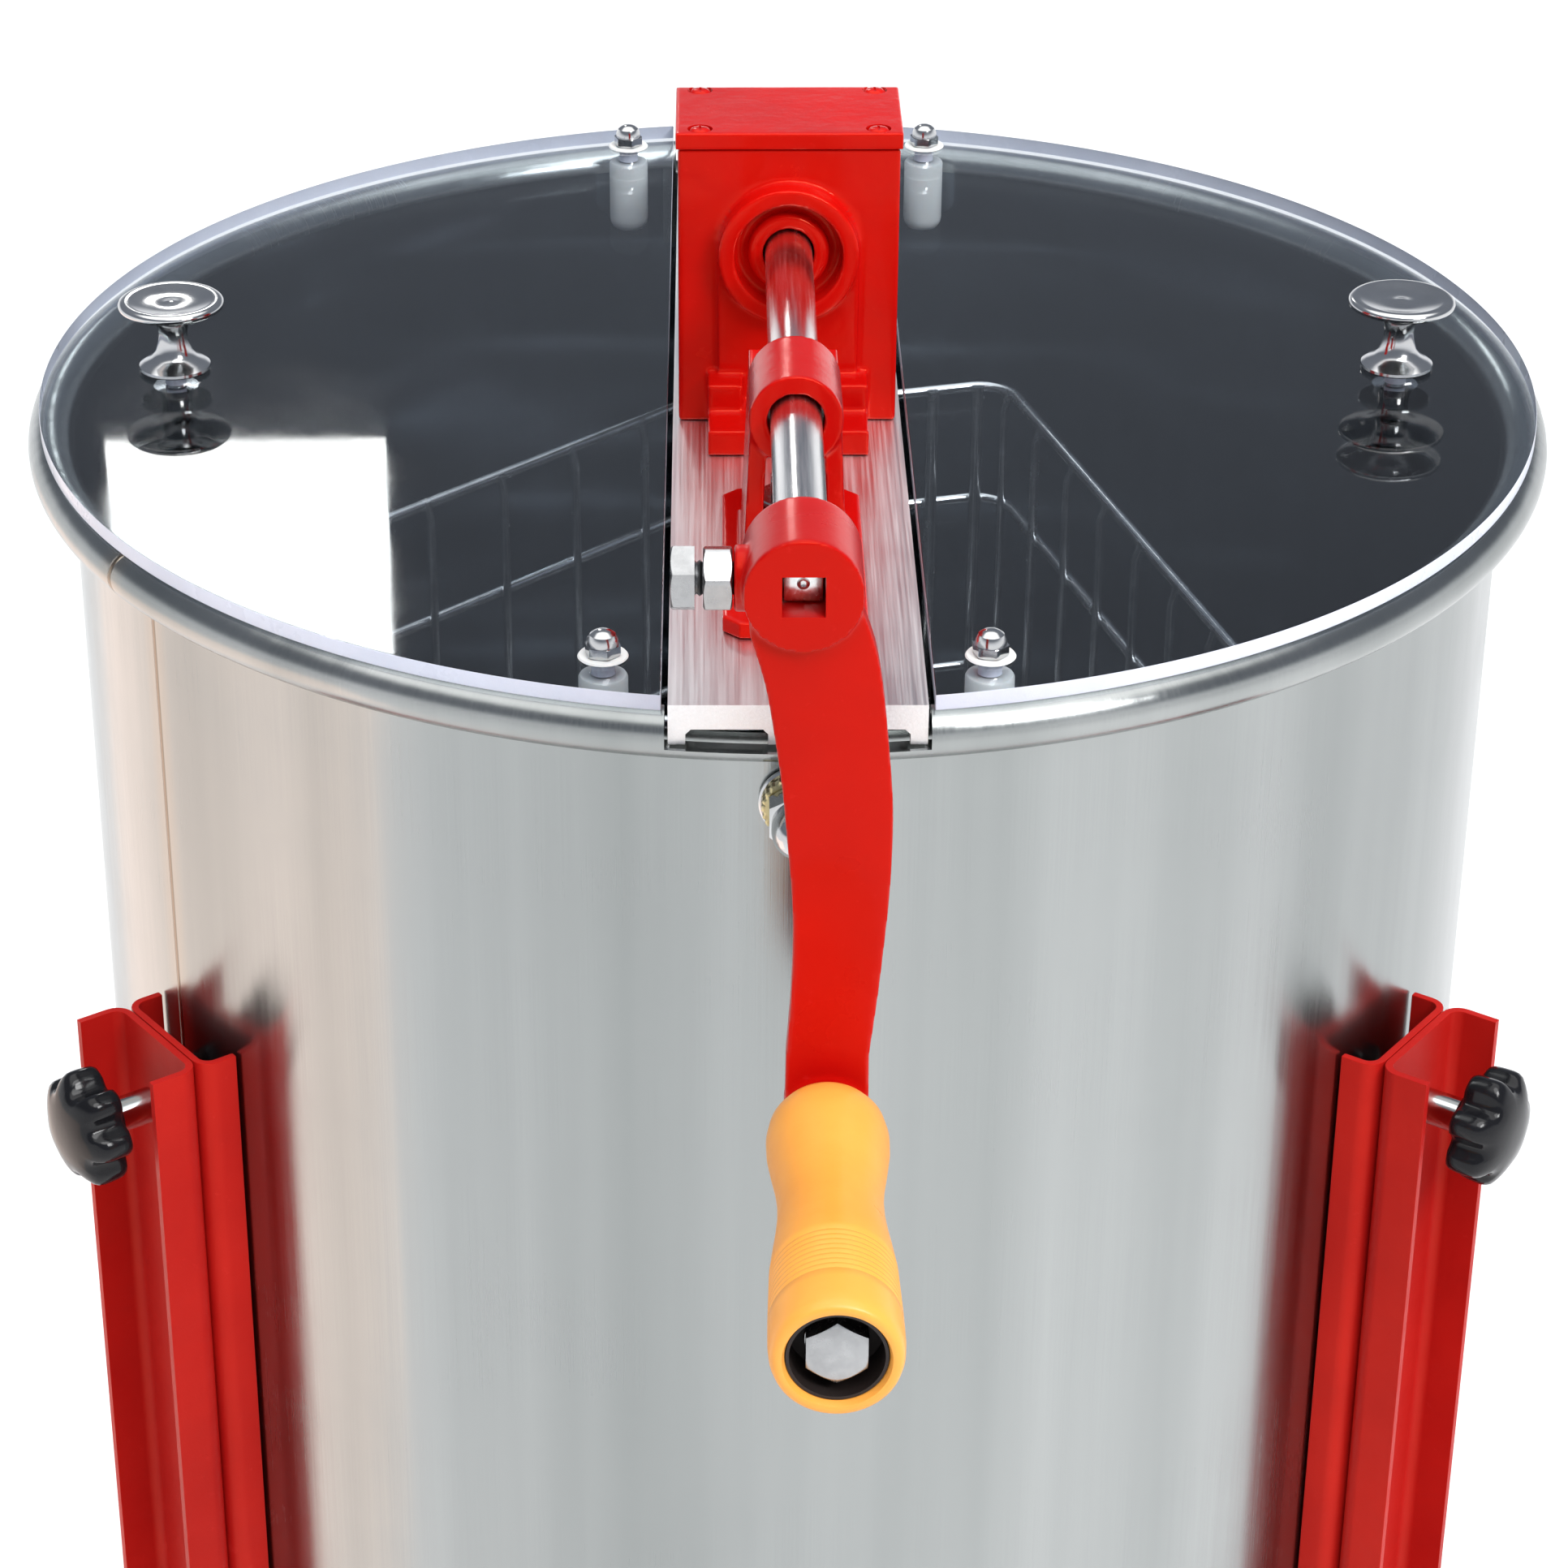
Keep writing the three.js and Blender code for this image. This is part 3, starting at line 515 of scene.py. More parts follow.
def cast(ob, voxel=0.6, it=5, fac=0.5):
    """soft-edged casting: voxel surface, relaxed"""
    m = ob.modifiers.new("r", "REMESH")
    m.mode = "VOXEL"
    m.voxel_size = voxel / 1000.0
    m.use_smooth_shade = True
    s = ob.modifiers.new("s", "SMOOTH")
    s.iterations = it
    s.factor = fac
    return apply_mods(ob)


def done(ob, mat, body, replaces=(), smooth=35):
    me = ob.data
    me.materials.clear()
    me.materials.append(M[mat])
    for p in me.polygons:
        p.use_smooth = True
        p.material_index = 0
    me.set_sharp_from_angle(angle=rad(smooth))
    if ob.get("flats"):
        m = ob.modifiers.new("w", "WEIGHTED_NORMAL")
        m.keep_sharp = True
        m.weight = 80
        apply_mods(ob)
        del ob["flats"]
    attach(ob, body)
    if replaces:
        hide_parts(*([replaces] if isinstance(replaces, str) else replaces))
    return ob


def arc(cx, cy, r, a0, a1, n):
    return [(cx + r * cos(rad(a0 + (a1 - a0) * i / n)), cy + r * sin(rad(a0 + (a1 - a0) * i / n))) for i in range(n + 1)]


def turn_z(ob, deg):
    c = Vector((AX, AY, 0))
    ob.data.transform(Matrix.Translation(c) @ Matrix.Rotation(rad(deg), 4, "Z") @ Matrix.Translation(-c))
    return ob


# ------------------------------------------------------------------ dimensions shared with the CAD (mm)
SHAFT_Z, HUB_F, HUB_B = 49.3, -238.0, -214.0
GX, GZ, GEND = 6.5, -81.0, -332.0
BAR_TOP, BAR_H, BAR_L = 2.5, 10.0, 391.0
STUD_Z = -25.0
LEG_AZ = (-54, 54, 180)
KNOB_Z = (-151.0, -500.0)
GATE_Z = -566.0
CAGE_AZ = (15.2, 135.2, 255.2)
D_OFF = RZ * 1000.0

# ------------------------------------------------------------------ drum
prof = arc(194, -6, 6, 180, -130, 26) + arc(194, -6, 5, -130, 180, 26) + [(189, -30), (189, -300), (189, -588), (189.5, -590), (189.5, -597), (189, -600), (188, -600), (188, -300), (188, -30)]
d = lathe("drum_wall_and_rim", prof, 240)
minus(d, box("c1", -30.3, 30.3, -206, -182, -7.9, 5), box("c2", -30.3, 30.3, 182, 206, -7.9, 5), rod("c3", "y", -210, 210, 3.4, (0, 0, STUD_Z), 24), rod("c4", "y", -200, -150, 22.4, (0, 0, GATE_Z), 64))
done(d, "drum", "drum", "drum_shell", 30)
# inward-facing wall faces below the rim take the darker inner steel: painted shade inside the drum
d.data.materials.append(M["inner"])
for p in d.data.polygons:
    q_ = p.center - Vector((AX, AY, 0))
    if p.normal.x * q_.x + p.normal.y * q_.y < -0.5 * math.hypot(q_.x, q_.y) and p.center.z < RZ - 0.015:
        p.material_index = 1
# the cone floor also takes the darker inner steel: painted shade
f = lathe("drum_cone_floor", [(18, -571.2), (60, -576.3), (120, -583.7), (187.2, -592), (187.2, -598), (186.2, -598), (186.2, -593.2), (18, -572.4)], 160)
done(f, "inner", "drum", "drum_floor", 30)
NODES["bottom_bearing"].data.materials.clear(); NODES["bottom_bearing"].data.materials.append(M["bronze"])

# ------------------------------------------------------------------ crossbar
w, b0, u = 29.5, BAR_TOP - BAR_H, BAR_TOP - 6.2
e = [(-w, BAR_TOP), (-w, b0), (-w + 4, b0), (-w + 4, u - 1.2), (-w + 5.2, u), (-7.9, u), (-6.7, u - 1.2), (-6.7, b0), (-3.4, b0), (-3.0, b0 + 0.5), (3.0, b0 + 0.5), (3.4, b0), (6.7, b0), (6.7, u - 1.2), (7.9, u), (w - 5.2, u), (w - 4, u - 1.2), (w - 4, b0), (w, b0), (w, BAR_TOP)]
o = prism("crossbar_extrusion", e, -BAR_L / 2, BAR_L / 2, "xz")
minus(o, rod("c", "z", -20, 10, 9.4, (0, 0, 0), 48), rod("c", "z", -20, 10, 3.3, (0, -92, 0), 24), rod("c", "z", -20, 10, 3.3, (0, -154, 0), 24))
bevel(o, 0.45, 2)
done(o, "alu", "drum", "crossbar", 40)

for n, s in (("front", -1), ("back", 1)):
    g = box("bar_clip_plate_" + n, -11, 11, min(s * 183.5, s * 186.9), max(s * 183.5, s * 186.9), -36, -7.8)
    join(g, box("t", -11, 11, min(s * 184.5, s * 150), max(s * 184.5, s * 150), -11, -7.8))
    minus(g, rod("c", "y", -200, 200, 3.4, (0, 0, STUD_Z), 24))
    bevel(g, 0.5, 2)
    done(g, "zinc", "drum", "bar_clip_" + n)
    c = (0, 0, STUD_Z)
    q = lathe("clamp_washer_" + n, [(3.2, s * 189.6), (8.4, s * 189.6), (8.8, s * 189.9), (8.8, s * 190.8), (8.4, s * 191.1), (3.2, s * 191.1)], 64, "y", c)
    done(q, "chrome", "drum")
    q = lathe("clamp_lock_washer_" + n, [(3.2, s * 191.2), (7.4, s * 191.2), (7.9, s * 191.6), (7.9, s * 193.6), (7.4, s * 194.0), (3.2, s * 194.0)], 96, "y", c, lobes=lambda a, r, h: 0.028 * (1 if cos(a * 24) > 0 else -1) if r > 5 else 0)
    done(q, "yzinc", "drum")
    q = hexbody("clamp_dome_nut_hex_" + n, "y", s * 194.2, s * 201.2, 12.8, c, "ab", 0, 72)
    join(q, lathe("x", [(0, s * 200.0), (5.95, s * 200.0), (6.0, s * 204.8), (5.75, s * 206.8), (5.2, s * 208.4), (4.3, s * 210.0), (3.0, s * 211.2), (1.5, s * 211.8), (0, s * 212.0)], 64, "y", c), rod("x2", "y", min(s * 181, s * 196), max(s * 181, s * 196), 3.0, c, 32), hexbody("x3", "y", s * 183.2, s * 181.0, 10.5, c, "b"))
    done(q, "chrome", "drum", "clamp_stud_" + n, 28)

# ------------------------------------------------------------------ gearbox
z0, z1 = BAR_TOP + 0.3, 75.7
hb = box("gearbox_casting", -28, 28, -31.9, 3.5, z0, z1)
pad = [(-17.6, z0), (17.6, z0)] + arc(0, SHAFT_Z, 18, 0, 180, 32)
join(hb, rod("a", "z", z0, 42, 14, (0, 0, 0), 64), prism("b", pad, -34.1, -31, "xz"), rod("c", "y", -38, -31, 17.8, (0, 0, SHAFT_Z), 96),
     box("d", -20.4, 20.4, -55, -31, z0, 9.4), box("e", -20.4, -11.5, -42, -31, z0, 16.5), box("f", 11.5, 20.4, -42, -31, z0, 16.5))
minus(hb, rod("g", "y", -40, -31.2, 13.7, (0, 0, SHAFT_Z), 96), box("h", -24, 24, -26, -0.8, 6.6, 80), rod("i", "z", 6.6, 38, 11, (0, 0, 0), 48), rod("j", "z", 0, 10, 6.3, (0, 0, 0), 48))
join(hb, lathe("k", [(0, -35), (9.4, -35), (10.4, -34), (10.4, -30), (0, -30)], 64, "y", (0, 0, SHAFT_Z)))
minus(hb, rod("l", "y", -50, -20, 6.5, (0, 0, SHAFT_Z), 64), *[rod("m", "z", 64, 80, 1.9, (x, y, 0), 20) for x in (-22.4, 22.4) for y in (-28.6, 1.3)])
cast(hb, 0.55, 5)
done(hb, "red", "drum", "gearbox_housing", 60)
cv = box("gearbox_lid_casting", -28.6, 28.6, -32.5, 4.1, 76.0, 80.2)
cast(cv, 0.5, 6)
minus(cv, *[rod("m", "z", 70, 90, 1.9, (x, y, 0), 20) for x in (-22.4, 22.4) for y in (-28.6, 1.3)], *[lathe("m2", [(0, 78.9), (3.0, 78.9), (3.3, 81), (0, 81)], 28, "z", (x, y, 0)) for x in (-22.4, 22.4) for y in (-28.6, 1.3)])
done(cv, "red", "drum", "gearbox_cover", 50)
for i, (x, y) in enumerate([(-22.4, -28.6), (22.4, -28.6), (-22.4, 1.3), (22.4, 1.3)]):
    q = lathe("cover_screw_painted_%d" % (i + 1), [(0, 66), (1.3, 66), (1.3, 79.1), (2.6, 79.2), (2.7, 79.7), (2.1, 80.3), (1.0, 80.5), (0, 80.55)], 32, "z", (x, y, 0))
    minus(q, box("s", x - 1.7, x + 1.7, y - 0.28, y + 0.28, 80.0, 81), box("s", x - 0.28, x + 0.28, y - 1.7, y + 1.7, 80.0, 81))
    done(q, "red", "drum", "cover_screw_%d" % (i + 1))
for n, k in (("drive_gear", "gear"), ("pinion_gear", "gear")):
    NODES[n].data.materials.clear()
    NODES[n].data.materials.append(M[k])

# ------------------------------------------------------------------ bearing bracket
pl = prism("shaft_bracket_casting", [(-17, -158), (-13, -162), (13, -162), (17, -158), (17, -88), (13, -84), (-13, -84), (-17, -88)], BAR_TOP + 0.3, BAR_TOP + 4.3)
join(pl, prism("a", [(-12.5, BAR_TOP + 1), (-8.4, BAR_TOP + 1), (-6.4, SHAFT_Z), (-10.6, SHAFT_Z)], -142, -98, "xz"), prism("b", [(12.5, BAR_TOP + 1), (8.4, BAR_TOP + 1), (6.4, SHAFT_Z), (10.6, SHAFT_Z)], -142, -98, "xz"),
     rod("c", "y", -143, -117, 11, (0, 0, SHAFT_Z), 64))
minus(pl, rod("d", "y", -170, -90, 6.7, (0, 0, SHAFT_Z), 48), rod("e", "z", 0, 10, 3.6, (0, -92, 0), 24), rod("f", "z", 0, 10, 3.6, (0, -154, 0), 24))
cast(pl, 0.5, 4)
done(pl, "red", "drum", "shaft_bracket", 60)
for n, y in (("rear", -92), ("front", -154)):
    q = hexbody("bracket_bolt_hex_" + n, "z", BAR_TOP + 6.0, BAR_TOP + 10.9, 10, (0, y, 0), "b")
    join(q, rod("a", "z", -6, BAR_TOP + 7, 3, (0, y, 0), 32), rod("b", "z", BAR_TOP + 4.6, BAR_TOP + 6.1, 8.2, (0, y, 0), 64, 0.3))
    done(q, "bolt", "drum", "bracket_bolt_" + n, 28)

# ------------------------------------------------------------------ crank
s = 4.35
q = rod("crank_shaft_ground", "y", HUB_B + 0.4, -3, 6, (0, 0, SHAFT_Z), 64, 0.4)
join(q, bevel(box("a", -s, s, HUB_F + 7.0, HUB_B + 1.2, SHAFT_Z - s, SHAFT_Z + s), 0.7, 2))
minus(q, lathe("a", [(0, HUB_F + 6.5), (1.9, HUB_F + 6.5), (0.0, HUB_F + 8.4)], 32, "y", (0, 0, SHAFT_Z)))
done(q, "shaft", "crank", "crank_shaft", 30)
L = [(-11.4, 39.1), (-8.2, 27.9), (-6.2, 16.4), (-4.2, 2), (-3, -11.1), (-1.9, -24), (-1.5, -35), (-1.8, -50), (-2.8, -65.6)]
R = [(13.0, 44), (15.6, 36), (17.4, 26), (18.7, 14), (19.9, 0), (20.1, -11), (19.7, -24), (18.9, -35), (17.6, -50), (15.9, -65.4)]


def smooth_pts(P, n=4):
    out = []
    for i in range(len(P) - 1):
        p0 = P[max(i - 1, 0)]; p1 = P[i]; p2 = P[i + 1]; p3 = P[min(i + 2, len(P) - 1)]
        for k in range(n):
            t = k / n
            out.append(tuple(0.5 * ((2 * p1[j]) + (-p0[j] + p2[j]) * t + (2 * p0[j] - 5 * p1[j] + 4 * p2[j] - p3[j]) * t * t + (-p0[j] + 3 * p1[j] - 3 * p2[j] + p3[j]) * t ** 3) for j in (0, 1)))
    out.append(P[-1])
    return out


outline = list(reversed(smooth_pts(L))) + [(-12, SHAFT_Z), (12, SHAFT_Z)] + smooth_pts(R) + arc(GX, GZ, 9.6, -8, -172, 24)
ar = prism("crank_arm_casting", outline, HUB_F + 2, HUB_F + 8, "xz")
join(ar, rod("a", "y", HUB_F, HUB_B, 13, (0, 0, SHAFT_Z), 96), rod("b", "x", -14.8, -6, 7.2, (0, -226, SHAFT_Z - 1), 64), rod("c", "y", HUB_F + 1.6, HUB_F + 11, 9.6, (GX, 0, GZ), 64))
cast(ar, 0.55, 4)
h = 4.65
minus(ar, box("c", -h, h, -245, -205, SHAFT_Z - h, SHAFT_Z + h), rod("d", "y", -250, -210, 4.3, (GX, 0, GZ), 32), rod("e", "x", -20, 0, 4.3, (0, -226, SHAFT_Z - 1), 32))
done(ar, "redarm", "crank", "crank_arm", 45)
cb = (0, -226, SHAFT_Z - 1)


def thread(name, axis, a, b, r, c, pitch=1.25, depth=0.5, seg=40):
    """rolled thread as stacked ridges"""
    p = [(0, a)]
    n = int(abs(b - a) / pitch)
    st = (b - a) / n
    for i in range(n):
        p += [(r - depth, a + st * i), (r, a + st * (i + 0.5))]
    p += [(r - depth, b), (0, b)]
    return lathe(name, p, seg, axis, c)


q = hexbody("clamp_bolt_hex", "x", -23.2, -28.4, 13, cb, "b")
join(q, thread("a", "x", -24, -5.0, 3.9, cb))
done(q, "bolt", "crank", "clamp_bolt", 28)
q = hexbody("clamp_nut_hex", "x", -21.4, -15.1, 13, cb, "ab", 4.05, 72, 0.2)
done(q, "bolt", "crank", "clamp_nut", 28)
q = hexbody("handle_bolt_hex", "y", GEND + 8.5, GEND + 2.5, 13, (GX, 0, GZ), "b")
join(q, rod("a", "y", GEND + 8, HUB_F + 18, 3.9, (GX, 0, GZ), 32), hexbody("b", "y", HUB_F + 11.3, HUB_F + 17, 13, (GX, 0, GZ), "b"), rod("w", "y", GEND + 8.4, GEND + 9.8, 6.9, (GX, 0, GZ), 48, 0.2))
done(q, "bolt", "crank", "handle_bolt", 28)

# ------------------------------------------------------------------ grip
base = [(-239.2, 7.0), (-240.0, 10.2), (-241.6, 12.2), (-244, 13.3), (-248, 13.9), (-253, 13.8), (-260, 13.0), (-267, 12.1), (-273, 11.7), (-280, 11.8), (-287, 12.4), (-294, 13.2), (-300, 13.8)]
gp = [(4.3, -239.2)] + [(r, y) for y, r in base]
for i in range(9):                                   # fine turned rings before the flared end
    y = -302 - i * 1.9
    R0 = 13.9 + i * 0.06
    gp += [(R0, y), (R0 - 0.28, y - 0.5), (R0 - 0.28, y - 0.8), (R0 + 0.03, y - 1.2)]
gp += [(14.45, -321), (14.5, -326), (14.3, -329.3), (13.8, -331.2), (13.1, -331.9), (12.2, GEND), (11.6, -331.8), (11.2, -331.0), (10.9, -329.6), (10.9, -319), (4.3, -319)]
q = lathe("handle_grip_turned", gp, 96, "y", (GX, 0, GZ))
done(q, "grip", "grip", "handle_grip", 40)
# near-black sleeve inside the grip's end recess: painted shade for the hollow, not a separate part
q = lathe("grip_recess_liner", [(4.6, -319.4), (10.8, -319.4), (10.8, -330.3), (10.1, -330.3), (10.1, -320.4), (4.6, -320.4)], 64, "y", (GX, 0, GZ))
done(q, "hole", "grip")

# ------------------------------------------------------------------ lids
for n, s in (("left", -1), ("right", 1)):
    body = "lid_l" if s < 0 else "lid_r"
    half = math.degrees(math.acos(31 / 196.5))
    out = arc(0, 0, 196.5, -half, half, 160) if s > 0 else arc(0, 0, 196.5, 180 - half, 180 + half, 160)
    o = prism("lid_sheet_" + n, out, 0.3, 4.3)
    minus(o, *[rod("c", "z", -1, 6, 2.8, (s * x, y, 0), 24) for x, y in ((44.5, -174.5), (44.5, 174.5), (162, 0))])
    bevel(o, 0.35, 2, 50)
    done(o, "clear", body, "lid_" + n, 30)
    o.data.materials.append(M["edge"])
    for p in o.data.polygons:
        if abs(p.normal.z) < 0.9:
            p.material_index = 1
    zt = 4.3
    kp = [(0, -3), (5.6, -3), (6, -2.6), (6, -0.3), (2.4, -0.2), (2.4, zt + 0.3), (9.1, zt + 0.3), (9.5, zt + 0.7), (9.4, zt + 1.4), (8.0, zt + 2.4), (6.0, zt + 3.6), (4.8, zt + 5.4), (4.1, zt + 8), (3.9, zt + 10.5), (4.3, zt + 13), (5.6, zt + 14.8), (9, zt + 16.0), (12.6, zt + 17.0), (13.8, zt + 17.7), (14, zt + 18.4), (13.8, zt + 19.0), (13.2, zt + 19.5), (12.2, zt + 19.7), (10.8, zt + 19.5), (8.5, zt + 18.9), (5, zt + 18.6), (2, zt + 18.7), (1.0, zt + 19.0), (0, zt + 19.05)]
    q = lathe("lid_knob_turned_" + n, kp, 72, "z", (s * 162, 0, 0))
    done(q, "chrome", body, "lid_knob_" + n, 40)
    for m, t in (("front", -1), ("back", 1)):
        c = (s * 44.5, t * 174.5, 0)
        q = lathe("peg_nylon_%s_%s" % (n, m), [(0, -21), (3.0, -21), (4.6, -20.4), (5.5, -19.0), (5.75, -17.5), (5.75, -0.6), (5.4, 0), (2.4, 0), (2.4, -10), (0, -10)], 48, "z", c)
        done(q, "nylon", body, "lid_peg_%s_%s" % (n, m), 40)
        q = lathe("peg_seat_ring_%s_%s" % (n, m), [(2.5, zt + 0.1), (5.6, zt + 0.1), (5.9, zt + 0.4), (5.6, zt + 0.8), (2.5, zt + 0.8)], 48, "z", c)
        done(q, "nylon", body)
        q = hexbody("peg_dome_nut_%s_%s" % (n, m), "z", zt + 0.9, zt + 3.4, 7.6, c, "a", 0, 48, 0.3)
        join(q, lathe("x", [(0, zt + 3.2), (3.7, zt + 3.2), (3.6, zt + 4.6), (3.0, zt + 5.9), (1.9, zt + 6.7), (0.8, zt + 7.0), (0, zt + 7.0)], 40, "z", c), rod("y", "z", -9, zt + 1.5, 2.2, c, 24))
        done(q, "chrome", body, (), 28)

# ------------------------------------------------------------------ legs
T = 2.0


def channel(r0, r1, open_out, wd=20.0, bend=4.6):
    """C section as an outline in (radial, tangential); the web is at r0 when it opens outwards"""
    web, tip = (r0, r1) if open_out else (r1, r0)
    sgn = 1 if open_out else -1
    ro, ri = bend + 0.4, max(bend - T + 0.4, 0.6)
    def corner(cx, cy, r, a0, a1):
        return arc(cx, cy, r, a0, a1, 6)
    out = []
    # outer contour: from tip (-t side) along the flange to the web, across, back to the tip
    x = lambda v: web + sgn * v
    pts = [(tip, -wd)]
    for k in range(7):
        a = k / 6 * pi / 2
        pts.append((x(ro - ro * sin(a)), -wd + ro - ro * cos(a)))
    for k in range(7):
        a = k / 6 * pi / 2
        pts.append((x(ro - ro * cos(a)), wd - ro + ro * sin(a)))
    pts.append((tip, wd))
    pts.append((tip, wd - T))
    for k in range(7):
        a = k / 6 * pi / 2
        pts.append((x(T + ri - ri * sin(a)), wd - T - ri + ri * cos(a)))
    for k in range(7):
        a = k / 6 * pi / 2
        pts.append((x(T + ri - ri * cos(a)), -wd + T + ri - ri * sin(a)))
    pts.append((tip, -wd + T))
    return pts


for k, az in enumerate(LEG_AZ):
    n, t = k + 1, az - 90
    a = prism("leg_rail_channel_%d" % n, channel(188.7, 199.0, False), -560, -132)
    minus(a, *[rod("c", "x", 190, 215, 3.4, (0, 0, z), 24) for z in KNOB_Z])
    bevel(a, 0.35, 2, 40)
    turn_z(a, t)
    done(a, "leg", "drum", "leg_bracket_%d" % n, 35)
    a = prism("leg_channel_%d" % n, channel(199.3, 213.0, True), -912, -132)
    minus(a, *[rod("c", "x", 190, 215, 3.4, (0, 0, z), 24) for z in KNOB_Z])
    bevel(a, 0.35, 2, 40)
    turn_z(a, t)
    done(a, "leg", "drum", "leg_%d" % n, 35)
    a = prism("leg_foot_cap_%d" % n, [(196, -21.4), (198, -23.4), (215, -23.4), (217, -21.4), (217, 21.4), (215, 23.4), (198, 23.4), (196, 21.4)], -920, -895)
    minus(a, prism("c", [(198.9, -20.4), (213.4, -20.4), (213.4, -17.6), (201.7, -17.6), (201.7, 17.6), (213.4, 17.6), (213.4, 20.4), (198.9, 20.4)], -912.3, -880))
    bevel(a, 0.8, 2, 40)
    turn_z(a, t)
    done(a, "foot", "drum", "leg_foot_%d" % n, 40)
    for j, z in enumerate(KNOB_Z):
        nm = "leg_knob_%d_%s" % (n, "lower" if j else "upper")
        def lob(a, r, h):
            if r < 9.0 or h < 216.7:
                return 0.0
            fl = max(0.0, -cos(7 * a)) ** 0.8                      # one scoop between two lobes
            side = 1.0 if h < 225.5 else max(0.0, 1.0 - (h - 225.5) / 3.4)
            return 0.085 * side * max(0.0, cos(7 * a)) - 0.175 * side * fl
        pr = [(0, 214.6), (6.4, 214.6), (6.8, 215.0), (6.8, 216.6), (12.4, 216.8), (13.6, 217.3), (14.1, 218.3), (14.3, 220.0), (14.4, 222.0), (14.4, 223.5), (14.2, 224.8), (13.7, 225.9), (12.8, 226.9), (11.6, 227.8), (10.0, 228.6), (8.0, 229.2), (5.5, 229.7), (2.8, 229.95), (0, 230.0)]
        q = lathe(nm + "_star", pr, 168, "x", (0, 0, z), lobes=lob)
        turn_z(q, t)
        done(q, "black", "body_" + nm, nm, 50)
        q = thread(nm + "_stud", "x", 190.2, 215, 3.0, (0, 0, z), 1.0, 0.4, 32)
        join(q, lathe("sl", [(0, 203.2), (4.3, 203.2), (4.6, 203.6), (4.6, 215.2), (0, 215.2)], 48, "x", (0, 0, z)))
        turn_z(q, t)
        done(q, "chrome", "body_" + nm, (), 28)
        q = lathe(nm + "_inner_nut", [(3.2, 191.2), (8.6, 191.2), (9.4, 191.8), (9.4, 195.6), (8.6, 196.4), (3.2, 196.4)], 84, "x", (0, 0, z), lobes=lambda a, r, h: 0.10 * cos(7 * a) if r > 7 else 0.0)
        turn_z(q, t)
        done(q, "black", "drum", (), 40)

# ------------------------------------------------------------------ basket
q = lathe("basket_shaft_turned", [(0, -578.6), (3, -576.6), (8, -574), (8, -14), (6, -12.5), (6, 9.6), (4.8, 10.4), (4.8, 36.5), (0, 36.5)], 64)
done(q, "shaft", "basket", "basket_shaft", 35)


def wires(name, splines, r, body, replaces=(), turn=0.0):
    cu = bpy.data.curves.new(name, "CURVE")
    cu.dimensions = "3D"
    cu.bevel_depth = r / 1000.0
    cu.bevel_resolution = 3
    cu.use_fill_caps = True
    for pts, cyc in splines:
        sp = cu.splines.new("POLY")
        sp.points.add(len(pts) - 1)
        for i, p in enumerate(pts):
            sp.points[i].co = (*W(p), 1)
        sp.use_cyclic_u = cyc
    tmp = bpy.data.objects.new(name + "_c", cu)
    bpy.context.scene.collection.objects.link(tmp)
    dg = bpy.context.evaluated_depsgraph_get()
    me = bpy.data.meshes.new_from_object(tmp.evaluated_get(dg))
    bpy.data.objects.remove(tmp)
    ob = bpy.data.objects.new(name, me)
    bpy.context.scene.collection.objects.link(ob)
    bm = bmesh.new()
    bm.from_mesh(me)
    bmesh.ops.remove_doubles(bm, verts=bm.verts, dist=1e-7)
    bmesh.ops.recalc_face_normals(bm, faces=bm.faces)
    bm.to_mesh(me)
    bm.free()
    if turn:
        turn_z(ob, turn)
    return done(ob, "wire", body, replaces, 40)


GR, GW, CT, CB, CORE = 99.0, 106.0, -53.0, -505.0, 59.0
LEVELS = [CT, CT - 36, -145, -200, -255, -310, -365, -420, -462, CB]
APEX = GW / sin(pi / 3)


def polar(az, r, t):
    a = rad(az)
    return (r * cos(a) - t * sin(a), r * sin(a) + t * cos(a))


def rounded(P, radii, n=6):
    """closed polyline with filleted corners"""
    out = []
    for i, p in enumerate(P):
        a, c = Vector(P[i - 1]), Vector(P[(i + 1) % len(P)])
        p, rr = Vector(p), radii[i]
        u1, u2 = (a - p).normalized(), (c - p).normalized()
        half = u1.angle(u2) / 2
        d = rr / math.tan(half)
        q1, q2 = p + u1 * d, p + u2 * d
        cen = p + (u1 + u2).normalized() * (rr / sin(half))
        for k in range(n + 1):
            t = k / n
            v = (q1 - cen).lerp(q2 - cen, t)
            v = v.normalized() * rr
            out.append(tuple(cen + v))
    return out


star, rr = [], []
for az in CAGE_AZ:
    star += [polar(az, GR, -GW), polar(az, GR, GW), polar(az + 60, APEX, 0)]
    rr += [11.0, 11.0, 3.0]
ring = rounded(star, rr, 8)
grilles = ["basket_grille_%d" % i for i in (1, 2, 3)]
corners = ["basket_corner_%d" % i for i in (1, 2, 3)]
wires("basket_hoops_bent_wire", [([(x, y, z) for x, y in ring], True) for z in LEVELS], 1.65, "basket", corners)
for i, az in enumerate(CAGE_AZ):
    ups = []
    for k in range(8):
        t = -(GW - 8) + 2 * (GW - 8) * k / 7.0
        x, y = polar(az, GR - 2.3, t)
        x2, y2 = polar(az, GR - 0.6, t)
        ups.append(([(x, y, CB - 0.5), (x, y, CT - 5), (x2, y2, CT + 0.9)], False))
    wires("basket_grille_uprights_%d" % (i + 1), ups, 1.3, "basket", [grilles[i]])
posts = []
for az in CAGE_AZ:
    x, y = polar(az + 60, APEX - 5.2, 0)
    posts.append(([(x, y, CB - 1), (x, y, CT + 1)], False))
    for sgn in (-1, 1):
        for rr_ in (76, 90):
            x, y = polar(az, rr_, sgn * (GW - 2.6))
            posts.append(([(x, y, CB - 1), (x, y, CT + 1)], False))
wires("basket_posts", posts, 1.9, "basket")
hub = lathe("basket_core_hub", [(8.3, -134), (12.4, -134), (13, -134.6), (13, -405.4), (12.4, -406), (8.3, -406)], 64)
done(hub, "zinc", "basket", "basket_core", 40)
rails = []
CR = CORE / 0.5 - 1.5
